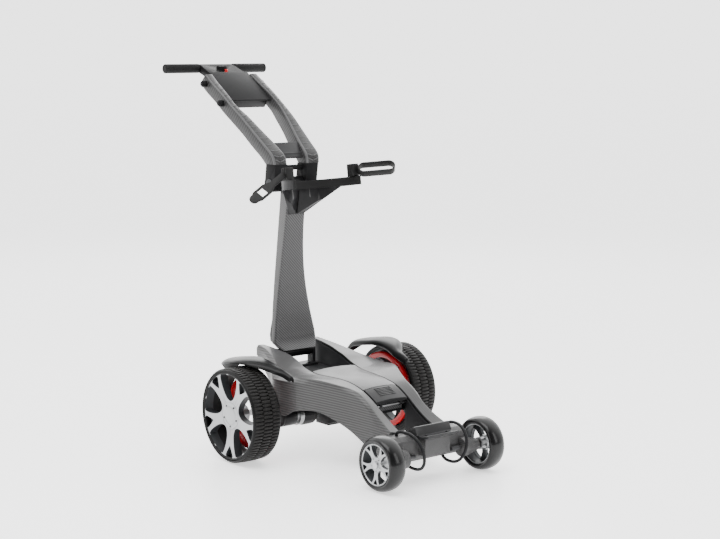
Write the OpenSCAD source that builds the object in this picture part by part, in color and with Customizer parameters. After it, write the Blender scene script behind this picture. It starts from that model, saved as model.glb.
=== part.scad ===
// Electric golf trolley: two driven rear wheels, two free front wheels, a low chassis with a
// battery bay, a mast that folds forward, and a handle that folds back behind the mast.
// +X is forward, +Y is the trolley's left, +Z is up. The ground is z = 0 and the origin is on
// the ground under the rear axle. Pieces that come in pairs are drawn on the left and mirrored.

/* [Rear wheels] */
// Outside diameter of a rear tyre
rear_wheel_d = 250; // [220:1:280]
// Width of a rear tyre
rear_wheel_w = 85; // [60:1:100]
// Distance between the middles of the rear tyres
rear_track = 531; // [525:1:600]
// Diameter of the rim where the tyre sits on it
rear_rim_d = 216; // [180:1:225]
// Diameter of the rear stub axles
rear_axle_d = 17; // [12:1:20]
// Diameter of the red ring on the inner side of a rear wheel
drive_ring_d = 212; // [150:1:214]

/* [Front wheels] */
// Distance from the rear axle to the front axle
wheelbase = 455; // [420:1:560]
// Outside diameter of a front tyre
front_wheel_d = 138; // [110:1:170]
// Width of a front tyre
front_wheel_w = 50; // [35:1:60]
// Distance between the middles of the front tyres
front_track = 330; // [320:1:400]
// Diameter of the front rim where the tyre sits on it
front_rim_d = 104; // [80:1:112]
// Diameter of the front stub axles
front_axle_d = 12; // [8:1:16]

/* [Drive] */
// Teeth on the gear of a rear axle
gear_teeth = 60; // [40:4:64]
// Teeth on a motor pinion
pinion_teeth = 15; // [15:1:20]
// Tooth size, pitch diameter over teeth
gear_module = 1.2; // [1:0.1:1.3]
// Width of the gears
gear_w = 14; // [8:1:16]
// Diameter of a drive motor
motor_d = 60; // [50:1:62]
// Length of a drive motor
motor_l = 66; // [50:1:70]
// Diameter of a motor shaft
motor_shaft_d = 8; // [6:1:10]

/* [Chassis] */
// Wall of the moulded chassis skin
skin = 4; // [3:0.5:6]
// Half width of the battery bay between the rails
bay_half_w = 54; // [50:1:60]
// Height of the battery bay's floor
bay_floor_z = 142; // [141:1:150]
// Length of the battery pack
battery_l = 226; // [180:1:228]
// Height of the battery pack
battery_h = 52; // [40:1:54]
// Length of the battery lid
lid_l = 200; // [180:1:210]
// How far the mudguards stand above the tyres
guard_gap = 12; // [8:1:25]

/* [Mast] */
// Height of the mast's fold pin above the ground
mast_pin_z = 240; // [236:1:250]
// Height from the mast's fold pin to the handle's fold pin
mast_h = 467; // [400:1:560]
// Diameter of the mast's fold pin
mast_pin_d = 14; // [10:1:16]
// Diameter of the handle's fold pin
handle_pin_d = 16; // [10:1:18]

/* [Handle] */
// How far behind its fold pin the handle's crossbar is
handle_reach = 361; // [320:1:420]
// How far above its fold pin the handle's crossbar is
handle_rise = 305; // [260:1:360]
// Overall width of the handle's crossbar
bar_w = 344; // [300:1:420]
// Diameter of the hand grips
grip_d = 26; // [24:1:34]

/* [Bag cradle] */
// Inner diameter of the padded cradle
cradle_d = 206; // [190:1:230]
// Height of the cradle's band
cradle_h = 24; // [18:1:32]
// Thickness of the rubber pad inside the cradle
pad_t = 6; // [4:0.5:8]
// Diameter of the elastic cord loops at the front
bungee_d = 8; // [6:1:10]

/* [Fits] */
// Radial clearance of a shaft that turns in its hole
running_fit = 0.05; // [0.02:0.01:0.1]

/* [Hidden] */
$fn = 64;

// ---- colours ----
carbon_grey = [0.40, 0.40, 0.41];
silver = [0.78, 0.79, 0.80];
satin_black = [0.10, 0.10, 0.11];
rubber_black = [0.06, 0.06, 0.07];
steel = [0.62, 0.63, 0.65];
signal_red = [0.75, 0.04, 0.04];

// ---- places worked out from the driving sizes ----
rear_z = rear_wheel_d / 2;
rear_y = rear_track / 2;
front_z = front_wheel_d / 2;
front_y = front_track / 2;
rear_in_y = rear_y - rear_wheel_w / 2;
rear_out_y = rear_y + rear_wheel_w / 2;
front_in_y = front_y - front_wheel_w / 2;
front_out_y = front_y + front_wheel_w / 2;
mesh_slack = 0.1;
backlash = 0.06;
tooth_addendum = 0.8;
tooth_dedendum = 1.1;
gear_r = gear_teeth * gear_module / 2;
pinion_r = pinion_teeth * gear_module / 2;
gear_distance = gear_r + pinion_r + mesh_slack;
motor_angle = -20;
motor_x = gear_distance * cos(motor_angle);
motor_z = rear_z + gear_distance * sin(motor_angle);
bearing_od = rear_axle_d + 22;
bearing_w = 9;
box_in_y = 130;
box_out_y = 170;
box_wall = 5;
gear_room = 2.5;
gear_y = 142;
axle_r = rear_axle_d / 2;
front_r = front_axle_d / 2;
bar_x = wheelbase - 38;
bar_half_y = min(112, front_in_y - 28);
deck_rear = -150;
deck_front = bar_x - 18;
well_floor_z = 196;
mast_pin_x = -125;
mast_pin_r = mast_pin_d / 2;
ear_r = mast_pin_r + 6;
ear_in_y = 56;
ear_w = 10;
knuckle_half_y = ear_in_y - 1;
handle_pin_x = mast_pin_x - 9;
handle_pin_z = mast_pin_z + mast_h;
handle_pin_r = handle_pin_d / 2;
head_half_y = 31;
cap_in_y = 33;
cap_out_y = 72;
lid_x = 46;
lid_end = lid_x + lid_l;
latch_l = 50;
battery_x = 57;
battery_half_w = bay_half_w - 8;
cradle_r = cradle_d / 2;
cradle_wall = 6;
cradle_tilt = 8;
cradle_root = [handle_pin_x + 43, 0, handle_pin_z - 5];
cradle_x = cradle_root[0] + cradle_r + pad_t;
cradle_span = 192;
bar_cx = handle_pin_x - handle_reach;
bar_cz = handle_pin_z + handle_rise;
grip_r = grip_d / 2;
grip_in_y = 58;
dial_x = bar_cx + 33;
button_x = bar_cx + 56;
lever_x = handle_pin_x + 6;
lever_z = handle_pin_z + 42;

// ---- general helpers ----

// Place of x in a short table of [x, value] rows
function seg(x, t, i = 0) = i >= len(t) - 2 || x < t[i + 1][0] ? i : seg(x, t, i + 1);
function slope(t, i, k) =
    let (a = max(i - 1, 0), b = min(i + 1, len(t) - 1))
    (t[b][k] - t[a][k]) / (t[b][0] - t[a][0]);

// Smooth curve through column k of a table whose first column is the station
function curve(x, t, k = 1) =
    let (i = seg(x, t), h = t[i + 1][0] - t[i][0], u = (x - t[i][0]) / h,
         m0 = slope(t, i, k) * h, m1 = slope(t, i + 1, k) * h)
    (2*u*u*u - 3*u*u + 1) * t[i][k] + (u*u*u - 2*u*u + u) * m0
    + (3*u*u - 2*u*u*u) * t[i + 1][k] + (u*u*u - u*u) * m1;

// Skin through closed rings of points, with flat ends. The rings may run either way round.
function middle(ring) = [for (p = ring) 1] * ring / len(ring);
function ring_normal(ring, i = 0, total = [0, 0, 0]) =
    i == len(ring) ? total
    : ring_normal(ring, i + 1, total + cross(ring[i], ring[(i + 1) % len(ring)]));
function backwards(ring) = [for (i = [len(ring) - 1:-1:0]) ring[i]];
module loft(given) {
    travel = middle(given[1]) - middle(given[0]);
    rings = ring_normal(given[0]) * travel > 0 ? [for (r = given) backwards(r)] : given;
    n = len(rings[0]);
    m = len(rings);
    near = [for (i = [n - 1:-1:0]) i];
    far = [for (i = [0:n - 1]) (m - 1) * n + i];
    sides = [for (j = [0:m - 2], i = [0:n - 1], half = [0, 1])
        half == 0
            ? [j*n + i, j*n + (i + 1) % n, (j + 1)*n + (i + 1) % n]
            : [j*n + i, (j + 1)*n + (i + 1) % n, (j + 1)*n + i]];
    polyhedron([for (r = rings) each r], concat([near], sides, [far]));
}

// Tube along a route of points, as rings square to the route
function unit(v) = v / norm(v);
function heading(p, i) = unit(p[min(i + 1, len(p) - 1)] - p[max(i - 1, 0)]);
function tube_rings(p, r, n) = [for (i = [0:len(p) - 1])
    let (d = heading(p, i), a = unit(cross(d, [0, 1, 0])), b = cross(d, a))
    [for (k = [0:n - 1]) p[i] + r * (cos(360*k/n) * a + sin(360*k/n) * b)]];

// A point between the hand-chosen route points, so that the tube bends evenly
function route_at(p, s) =
    let (i = min(floor(s), len(p) - 2), u = s - i,
         a = p[max(i - 1, 0)], b = p[i], c = p[i + 1], d = p[min(i + 2, len(p) - 1)])
    0.5 * (2*b + (c - a)*u + (2*a - 5*b + 4*c - d)*u*u + (3*b - a - 3*c + d)*u*u*u);

// The ends of an open channel are cut square by this much
trim = 0.5;

module pair() {
    children();
    mirror([0, 1, 0]) children();
}
module right() {
    mirror([0, 1, 0]) children();
}

// Round bar along Y, from y0 to y1
module bar_y(x, z, r, y0, y1) {
    translate([x, y0, z]) rotate([-90, 0, 0]) cylinder(r = r, h = y1 - y0);
}
// Round profile of [radius, y] points turned about an axle along Y
module turned_y(x, z, points) {
    translate([x, 0, z]) rotate([-90, 0, 0]) rotate_extrude() polygon(points);
}
// Side outline of [x, z] points, carried from y0 to y1
module side_y(points, y0, y1) {
    translate([0, y1, 0]) rotate([90, 0, 0]) linear_extrude(y1 - y0) polygon(points);
}
module box(low, high) {
    translate(low) cube(high - low);
}

// ---- chassis ----

// Rail outline at stations from 0, the rear end, to 1, the front end:
// station, inner edge y and z, crease y and z, shoulder y and z, lower edge z
rail = [
    [0.00,  82, 266, 100, 267, 106, 262, 236],
    [0.06,  80, 264, 104, 263, 112, 257, 214],
    [0.12,  78, 260, 112, 257, 122, 250, 196],
    [0.18,  75, 255, 122, 249, 134, 241, 182],
    [0.23,  73, 248, 134, 240, 148, 231, 174],
    [0.27,  74, 241, 147, 232, 165, 222, 170],
    [0.32,  75, 229, 157, 225, 181, 213, 168],
    [0.40,  71, 218, 157, 222, 184, 214, 122],
    [0.48,  62, 216, 153, 224, 174, 214, 139],
    [0.56,  56, 215, 134, 223, 141, 209, 141],
    [0.64,  55, 211, 111, 216, 117, 206, 124],
    [0.73,  56, 199, 89, 205, 100, 199, 100],
    [0.80,  55, 180, 84, 187, 93, 182, 78],
    [0.87,  54, 155, 83, 160, 89, 153, 60],
    [0.94,  54, 133, 86, 139, 92, 132, 50],
    [1.00,  56, 118, 90, 124, 98, 117, 48]];
rail_steps = 40;
rail_lip = 18;

function rail_y(s, k) = curve(s, rail, k);
function rail_x(s) = deck_rear + s * (deck_front - deck_rear);
function rail_s(x) = (x - deck_rear) / (deck_front - deck_rear);

// The same measure on the straight line between a rail's stations, for what lies against a rail
function rail_chord(x, k) =
    let (u = rail_s(x) * rail_steps, i = min(floor(u), rail_steps - 1))
    rail_y(i / rail_steps, k) * (1 - u + i) + rail_y((i + 1) / rail_steps, k) * (u - i);
// The rail's stations between two places
function stations(a, b) = [for (i = [0:rail_steps]) let (x = rail_x(i / rail_steps))
    if (x > a + 0.01 && x < b - 0.01) x];

// Channel section of a rail, open below
function rail_section(s) =
    let (x = rail_x(s), yi = rail_y(s, 1), zi = rail_y(s, 2), yc = rail_y(s, 3),
         zc = rail_y(s, 4), yo = rail_y(s, 5), zo = rail_y(s, 6), zl = rail_y(s, 7))
    [[x, yo, zl], [x, yo, zo - 4], [x, yo - 1.5, zo], [x, yc + 1, zc], [x, yc - 3, zc + 0.5],
     [x, yi + 2, zi], [x, yi, zi - 2], [x, yi, zi - rail_lip],
     [x, yi + skin, zi - rail_lip], [x, yi + skin, zi - skin], [x, yc - 4, zc - skin],
     [x, yo - skin - 1, zo - skin], [x, yo - skin, zl]];
// Solid plug that closes a rail's rear end, just inside its skin: how far in, and how much smaller
end_plug = [[5, 0.03], [0.5, 0.03], [-4, 0.14], [-8, 0.38]];
end_middle = [94, 252];
function rail_end_section(x, inset) =
    let (full = rail_section(0))
    [for (i = [0:7]) let (p = full[i])
        [x, p[1] + (end_middle[0] - p[1]) * inset, p[2] + (end_middle[1] - p[2]) * inset]];
module rail() {
    difference() {
        loft([for (i = [0:rail_steps]) rail_section(i / rail_steps)]);
        box([deck_rear - 5, 0, 0], [deck_rear + trim, 300, 400]);
        box([deck_front - trim, 0, 0], [deck_front + 5, 300, 400]);
    }
    loft([for (k = end_plug) rail_end_section(deck_rear + k[0], k[1])]);
}
module chassis_shell() {
    color(carbon_grey) pair() rail();
}

// Trough between the rails: the mast's well at the rear, then a step down to the battery bay
function floor_z(x) = x < well_x1 ? well_floor_z
    : x > well_x1 + step_l ? bay_floor_z
    : well_floor_z + (bay_floor_z - well_floor_z) * (x - well_x1) / step_l;
function trough_section(x) =
    let (yi = rail_chord(x, 1), zt = rail_chord(x, 2) - 7, wall = 3, floor_z = floor_z(x))
    [[x, yi, zt], [x, yi - wall, zt], [x, yi - wall, floor_z + 4], [x, wall - yi, floor_z + 4],
     [x, wall - yi, zt], [x, -yi, zt], [x, -yi, floor_z], [x, yi, floor_z]];
// Side liner of the open front of the frame
function liner_section(x) =
    let (yi = rail_chord(x, 1), zt = rail_chord(x, 2) - 7, zb = rail_chord(x, 7) + 8, wall = 3)
    [[x, yi, zt], [x, yi - wall, zt], [x, yi - wall, zb], [x, yi, zb]];
well_x0 = -144;
well_x1 = 34;
step_l = 20;
bay_x1 = lid_end + 40;
liner_gap = 0.2;
outrigger_x0 = -22;
outrigger_x1 = 12;
outrigger_y = 142;
outrigger_z = 176;
module chassis_tray() {
    color(satin_black) {
        difference() {
            loft([for (x = [well_x0, each stations(well_x0, well_x1), well_x1,
                            each stations(well_x1, well_x1 + step_l), well_x1 + step_l,
                            each stations(well_x1 + step_l, bay_x1), bay_x1]) trough_section(x)]);
            box([well_x0 - 5, -100, 100], [well_x0 + trim, 100, 300]);
            box([bay_x1 - trim, -100, 100], [bay_x1 + 5, 100, 300]);
        }
        pair() difference() {
            loft([for (x = [bay_x1 + liner_gap, each stations(bay_x1 + liner_gap, deck_front),
                            deck_front]) liner_section(x)]);
            bar_y(latch_pin_x, latch_pin_z, lid_pin_r, 40, 70);
        }
        pair() box([outrigger_x0, 30, outrigger_z], [outrigger_x1, outrigger_y, outrigger_z + 10]);
        pair() box([outrigger_x0, 30, outrigger_z], [outrigger_x1, 60, well_floor_z + 1]);
        pair() difference() {
            box([lid_x - 4, 26, bay_floor_z + 18], [lid_x + 10, 34, lid_pin_z + 5]);
            bar_y(lid_x, lid_pin_z, lid_pin_r, 20, 40);
        }
    }
}

// Crossbar that joins the rails' front ends and carries the front axles
cross_top = 118;
stub_y = front_in_y + 8;
module front_crossbar() {
    color(carbon_grey) difference() {
        union() {
            side_y([[bar_x - 18, 58], [bar_x - 18, cross_top], [bar_x + 12, cross_top - 1],
                    [bar_x + 28, cross_top - 10], [bar_x + 31, 66], [bar_x + 20, 52],
                    [bar_x - 8, 50]], -bar_half_y, bar_half_y);
            translate([wheelbase, 0, 0]) pair() {
                turned_y(0, front_z, [[0, bar_half_y - 20], [24, bar_half_y - 20],
                    [24, bar_half_y], [15, stub_y], [0, stub_y]]);
            }
            box([bar_x + 28, -41, 69], [bar_x + 56, 41, 113]);
        }
        pair() bar_y(wheelbase, front_z, front_r, 60, stub_y + 1);
    }
}
// Turned stub axles pressed into the crossbar
axle_head = 5;
module front_axles() {
    color(steel) pair() {
        bar_y(wheelbase, front_z, front_r, 60, front_out_y - 6);
        bar_y(wheelbase, front_z, front_r + 3, front_out_y - 6, front_out_y - 6 + axle_head);
    }
}

// Scooped plate on the crossbar that the foot of the bag stands on
rest_half_y = 52;
module bag_rest() {
    color(satin_black) {
        side_y([[bar_x - 12, cross_top], [bar_x + 12, cross_top - 1], [bar_x + 28, 113],
                [bar_x + 40, 113], [bar_x + 58, 113], [bar_x + 78, 121], [bar_x + 78, 127],
                [bar_x + 56, 121], [bar_x + 44, 121], [bar_x + 34, 142], [bar_x + 28, 142]],
               -rest_half_y, rest_half_y);
        pair() side_y([[bar_x - 12, cross_top], [bar_x + 12, cross_top - 1], [bar_x + 44, 121],
                [bar_x + 34, 142], [bar_x + 28, 142]], rest_half_y, rest_half_y + 6);
    }
}

// Elastic cord loops for the bag's foot. Route points from the crossbar's top, round the
// front and back under, measured from the crossbar's middle in x.
bungee_route = [[-4, 84, 118], [-2, 85, 124], [8, 85, 130], [26, 84, 132], [46, 82, 130],
    [65, 79, 121], [79, 75, 105], [85, 71, 86], [81, 66, 64], [68, 62, 47], [50, 60, 39],
    [30, 60, 38], [14, 61, 41], [6, 62, 46], [4, 62, 51]];
bungee_sides = 10;
bungee_parts = 3;
module bungee() {
    route = [for (p = bungee_route) [p[0] + bar_x, p[1], p[2]]];
    steps = (len(route) - 1) * bungee_parts;
    color(rubber_black) loft(tube_rings(
        [for (i = [0:steps]) route_at(route, i / bungee_parts)], bungee_d / 2, bungee_sides));
}
module bungee_left() { bungee(); }
module bungee_right() { right() bungee(); }

// Mudguards: station x, outer y, top z, inner y, inner lip depth
guard = [
    [-140, 214, -32, 192], [-112, 250, -4, 188], [-80, 270, 6, 186], [-46, 276, 12, 186],
    [-10, 274, 17, 188], [24, 262, 15, 190], [54, 242, 8, 189], [82, 220, -3, 187],
    [108, 209, -10, 187], [132, 204, -20, 187]];
guard_t = 4;
function guard_section(x) =
    let (top = rear_wheel_d + guard_gap - 8, yo = curve(x, guard, 1) + rear_y - 265.5,
         z = top + curve(x, guard, 2), yi = curve(x, guard, 3), w = yo - yi)
    [[x, yi, z - 20], [x, yi, z - 8], [x, yi + 0.12*w, z - 3], [x, yi + 0.3*w, z],
     [x, yi + 0.62*w, z], [x, yi + 0.86*w, z - 4], [x, yo, z - 11],
     [x, yo - 1, z - 11 - guard_t], [x, yi + 0.84*w - 1, z - 4 - guard_t],
     [x, yi + 0.62*w, z - guard_t], [x, yi + 0.3*w, z - guard_t],
     [x, yi + 0.12*w + 1, z - 4 - guard_t], [x, yi + min(guard_t, 0.1*w + 1), z - 20]];
guard_steps = 20;
guard_screws_x = [-60, 60];
guard_hole_r = 2.5;
guard_rib_l = 30;
module fender() {
    top = rear_wheel_d + guard_gap - 8;
    color(satin_black) difference() {
        union() {
            loft([for (i = [0:guard_steps]) guard_section(
                guard[0][0] + i * (guard[len(guard) - 1][0] - guard[0][0]) / guard_steps)]);
            box([-guard_rib_l, rear_in_y - 35.6, top], [guard_rib_l, rear_in_y - 30.6, top + 4]);
        }
        for (x = guard_screws_x)
            bar_y(x, top + curve(x, guard, 2) - 14, guard_hole_r, rear_in_y - 45, rear_in_y - 22);
    }
}
module fender_left() { fender(); }
module fender_right() { right() fender(); }

// Bracket in the well with two ears for the mast's fold pin
bracket_foot_z = well_floor_z + 4;
module mast_bracket() {
    color(satin_black) difference() {
        union() {
            box([mast_pin_x - 17, -ear_in_y - ear_w, bracket_foot_z],
                [mast_pin_x + 25, ear_in_y + ear_w, bracket_foot_z + 6]);
            pair() {
                bar_y(mast_pin_x, mast_pin_z, ear_r, ear_in_y, ear_in_y + ear_w);
                box([mast_pin_x - ear_r, ear_in_y, bracket_foot_z],
                    [mast_pin_x + ear_r, ear_in_y + ear_w, mast_pin_z]);
            }
        }
        bar_y(mast_pin_x, mast_pin_z, mast_pin_r, -100, 100);
    }
}
module mast_pin() {
    color(steel) bar_y(mast_pin_x, mast_pin_z, mast_pin_r, -ear_in_y - ear_w, ear_in_y + ear_w);
}

battery_z = bay_floor_z + 4;
module battery_pack() {
    color(carbon_grey) side_y([[battery_x, battery_z], [battery_x, battery_z + battery_h],
        [battery_x + battery_l - 60, battery_z + battery_h],
        [battery_x + battery_l, battery_z + battery_h - 28], [battery_x + battery_l, battery_z]],
        -battery_half_w, battery_half_w);
}
module controller_box() {
    color(satin_black) {
        box([18, -50, 84], [94, 50, bay_floor_z]);
        side_y([[26, 74], [26, 84], [88, 84], [80, 74]], -40, 40);
    }
}

// Gearbox: two joined round housings, hollow, open outward where the cover goes
module gearbox_outline(extra) {
    gear_case = gear_r + gear_module + gear_room + box_wall + extra;
    pinion_case = pinion_r + gear_module + gear_room + box_wall + 8 + extra;
    circle_at(0, rear_z, gear_case);
    circle_at(motor_x, motor_z, pinion_case);
}
module circle_at(x, z, r) {
    translate([x, z]) circle(r = r);
}
module plate_y(y0, y1) {
    translate([0, y1, 0]) rotate([90, 0, 0]) linear_extrude(y1 - y0) children();
}
cover_t = 6;
module gearbox() {
    color(satin_black) difference() {
        union() {
            plate_y(box_in_y, box_out_y) gearbox_outline(0);
            box([outrigger_x0, box_in_y, rear_z + 20], [outrigger_x1, outrigger_y, outrigger_z]);
            bar_y(0, rear_z, bearing_od / 2 + 5, box_in_y - 6, box_in_y + 2);
        }
        plate_y(box_in_y + box_wall, box_out_y + 1) gearbox_outline(-box_wall);
        bar_y(0, rear_z, bearing_od / 2, box_in_y - 7, box_in_y + box_wall + 1);
        bar_y(motor_x, motor_z, motor_shaft_d / 2 + 3, box_in_y - 1, box_in_y + box_wall + 1);
    }
}
module gearbox_left() { gearbox(); }
module gearbox_right() { right() gearbox(); }
module gearbox_covers() {
    color(satin_black) pair() difference() {
        union() {
            plate_y(box_out_y, box_out_y + cover_t) gearbox_outline(0);
            bar_y(0, rear_z, bearing_od / 2 + 4, box_out_y - 4, box_out_y + cover_t);
        }
        bar_y(0, rear_z, bearing_od / 2, box_out_y - 5, box_out_y + cover_t + 1);
    }
}
// Ball bearings, drawn as rings, that carry the rear axles
module rear_bearings() {
    color(steel) pair() for (y = [box_in_y - 6, box_out_y + cover_t - bearing_w]) {
        difference() {
            bar_y(0, rear_z, bearing_od / 2, y, y + bearing_w);
            bar_y(0, rear_z, axle_r + running_fit, y - 1, y + bearing_w + 1);
        }
    }
}
motor_y1 = box_in_y;
motor_y0 = motor_y1 - motor_l;
nose_r = gear_distance - bearing_od / 2 - 7;
module motor() {
    difference() {
        union() {
            color(satin_black) bar_y(motor_x, motor_z, motor_d / 2, motor_y0, motor_y1 - 20);
            color(silver) bar_y(motor_x, motor_z, motor_d / 2 - 2, motor_y1 - 20, motor_y1 - 8);
            bar_y(motor_x, motor_z, nose_r, motor_y1 - 8, motor_y1);
        }
        bar_y(motor_x, motor_z, motor_shaft_d / 2 + running_fit, motor_y1 - 20, motor_y1 + 1);
    }
}
module motor_left() { motor(); }
module motor_right() { right() motor(); }

// Screws: four under the bracket's corners, and three on each gearbox cover
screw_r = 4;
module chassis_screws() {
    color(steel) {
        pair() for (x = [mast_pin_x + 16]) translate([x, 40, bracket_foot_z + 6])
            cylinder(r = screw_r, h = 3);
        pair() for (a = [100, 180, 260])
            bar_y((gear_r - 1) * cos(a), rear_z + (gear_r - 1) * sin(a), screw_r - 1,
                  box_out_y + cover_t, box_out_y + cover_t + 2.5);
    }
}

// ---- battery lid and latch ----
lid_t = 5;
lid_back = 9;
lid_pin_z = 204;
lid_pin_r = 2.5;
module lid_pin() {
    color(steel) {
        pair() bar_y(lid_x, lid_pin_z, lid_pin_r, 12, 34);
        bar_y(latch_pin_x, latch_pin_z, lid_pin_r, 1 - lid_half_w(latch_pin_x),
              lid_half_w(latch_pin_x) - 1);
    }
}
// Half width of the lid, just inside the rails' inner edges
function lid_half_w(x) = rail_y(rail_s(x), 1) - 1.2;
function lid_top(x) = rail_y(rail_s(x), 2) + 1;
function lid_section(x) =
    let (w = lid_half_w(x), z = lid_top(x))
    [[x, w, z - lid_t - 1], [x, w, z - 1.5], [x, w * 0.8, z + 1], [x, w * 0.4, z + 3],
     [x, 0, z + 3.5], [x, -w * 0.4, z + 3], [x, -w * 0.8, z + 1], [x, -w, z - 1.5],
     [x, -w, z - lid_t - 1]];
module battery_lid() {
    color(silver * 0.75) {
        loft([for (i = [0:10]) lid_section(lid_x + lid_back + i * (lid_l - lid_back) / 10)]);
        difference() {
            union() {
                bar_y(lid_x, lid_pin_z, 6, -24, 24);
                box([lid_x, -24, lid_pin_z], [lid_x + 12, 24, lid_top(lid_x + 12) - lid_t]);
            }
            bar_y(lid_x, lid_pin_z, lid_pin_r + running_fit, -30, 30);
        }
    }
}
// Latch at the front of the lid: a flap that hinges on the tray's front edge
latch_x0 = lid_end + 1;
latch_x1 = lid_end + latch_l;
latch_pin_x = latch_x1 - 6;
latch_pin_z = 163;
function latch_section(x) =
    let (w = lid_half_w(x) - 2.4, z = lid_top(x))
    [[x, w, z - 7], [x, w, z - 1.5], [x, w * 0.6, z + 2], [x, 0, z + 3],
     [x, -w * 0.6, z + 2], [x, -w, z - 1.5], [x, -w, z - 7]];
module lid_latch() {
    color(satin_black) difference() {
        union() {
            loft([for (i = [0:6]) latch_section(latch_x0 + i * (latch_x1 - latch_x0) / 6)]);
            pair() {
                bar_y(latch_pin_x, latch_pin_z, lid_pin_r + 2, 30, 38);
                box([latch_pin_x - 4, 30, latch_pin_z], [latch_pin_x + 4, 38, lid_top(latch_x1) - 4]);
            }
        }
        bar_y(latch_pin_x, latch_pin_z, lid_pin_r + running_fit, -60, 60);
    }
}

// ---- rear wheels ----
tyre_round = 9;
rim_wall = 5;
face_y = rear_out_y - 10;
spoke_t = 9;
hub_r = 30;
spokes = 5;
module rear_tyre() {
    r = rear_wheel_d / 2;
    color(rubber_black) turned_y(0, rear_z, [[rear_rim_d/2, rear_in_y + 2], [r - tyre_round, rear_in_y],
        [r - 2.5, rear_in_y + 4], [r - 0.5, rear_in_y + 16], [r, rear_in_y + 26],
        [r, rear_out_y - 26], [r - 0.5, rear_out_y - 16], [r - 2.5, rear_out_y - 4],
        [r - tyre_round, rear_out_y], [rear_rim_d/2, rear_out_y - 2]]);
}
module rear_rim() {
    r = rear_rim_d / 2;
    color(silver) difference() {
        turned_y(0, rear_z, [[0, face_y - 44], [hub_r - 6, face_y - 44], [hub_r, face_y - spoke_t],
            [r - rim_wall, face_y - spoke_t - 4], [r - rim_wall, rear_in_y + 4],
            [r, rear_in_y + 4], [r, rear_out_y - 3], [r - 6, rear_out_y - 3],
            [r - 9, face_y], [hub_r + 4, face_y - 2], [hub_r, face_y + 3], [0, face_y + 3]]);
        bar_y(0, rear_z, axle_r, 0, face_y - 4);
        for (k = [0:spokes - 1]) rotate_about(0, rear_z, 90 + k * 360 / spokes) {
            bar_y(0.63 * r, rear_z, 0.24 * r, face_y - 20, face_y + 10);
            rotate_about(0, rear_z, 180 / spokes)
                bar_y(0.8 * r, rear_z, 0.09 * r, face_y - 20, face_y + 10);
        }
    }
}
// Turn about an axle along Y at [x, z]
module rotate_about(x, z, a) {
    translate([x, 0, z]) rotate([0, a, 0]) translate([-x, 0, -z]) children();
}
ring_y0 = rear_in_y - 9;
module drive_ring() {
    r = drive_ring_d / 2;
    seat_r = rear_rim_d / 2 - rim_wall;
    color(signal_red) turned_y(0, rear_z, [[seat_r - 13, ring_y0 + 2], [seat_r - 10, ring_y0],
        [r - 4, ring_y0], [r, ring_y0 + 4], [r, rear_in_y + 4], [seat_r, rear_in_y + 4],
        [seat_r, rear_in_y + 12], [seat_r - 4, rear_in_y + 12], [seat_r - 13, rear_in_y + 2]]);
}
module rear_axle() {
    color(steel) bar_y(0, rear_z, axle_r, box_in_y - 8, face_y - 4);
}

// Involute spur gear outline, with tooth 0 centred on angle `start`
pressure = 20;
flank_points = 3;
function involute(a) = tan(a) * 180 / PI - a;
function half_tooth(r, pitch_r, teeth) =
    let (base = pitch_r * cos(pressure), a = r > base ? acos(base / r) : 0)
    (90 / teeth) * (1 - backlash) + involute(pressure) - involute(a);
function gear_outline(teeth, start) =
    let (pitch_r = teeth * gear_module / 2, tip = pitch_r + tooth_addendum * gear_module,
         root = pitch_r - tooth_dedendum * gear_module, low = max(root, pitch_r * cos(pressure)))
    [for (t = [0:teeth - 1]) let (c = start + t * 360 / teeth) each concat(
        [[root, c - half_tooth(low, pitch_r, teeth) - 0.3]],
        [for (i = [0:flank_points]) let (r = low + (tip - low) * i / flank_points)
            [r, c - half_tooth(r, pitch_r, teeth)]],
        [for (i = [flank_points:-1:0]) let (r = low + (tip - low) * i / flank_points)
            [r, c + half_tooth(r, pitch_r, teeth)]],
        [[root, c + half_tooth(low, pitch_r, teeth) + 0.3]])];
module gear(teeth, start) {
    polygon([for (p = gear_outline(teeth, start)) [p[0] * cos(p[1]), p[0] * sin(p[1])]]);
}
module wheel_gear() {
    color(steel) difference() {
        union() {
            plate_y(gear_y, gear_y + gear_w) translate([0, rear_z]) gear(gear_teeth, motor_angle);
            bar_y(0, rear_z, axle_r + 5, gear_y - 2, gear_y + gear_w + 2);
        }
        bar_y(0, rear_z, axle_r, 0, 400);
    }
}
module pinion() {
    color(steel) {
        plate_y(gear_y - 1, gear_y + gear_w + 1) translate([motor_x, motor_z])
            gear(pinion_teeth, motor_angle + 180 + 180 / pinion_teeth);
        bar_y(motor_x, motor_z, motor_shaft_d / 2, motor_y1 - 18, gear_y + gear_w + 6);
    }
}
module rear_tyre_left() { rear_tyre(); }
module rear_tyre_right() { right() rear_tyre(); }
module rear_rim_left() { rear_rim(); }
module rear_rim_right() { right() rear_rim(); }
module drive_ring_left() { drive_ring(); }
module drive_ring_right() { right() drive_ring(); }
module rear_axle_left() { rear_axle(); }
module rear_axle_right() { right() rear_axle(); }
module wheel_gear_left() { wheel_gear(); }
module wheel_gear_right() { right() wheel_gear(); }
module pinion_left() { pinion(); }
module pinion_right() { right() pinion(); }

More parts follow.
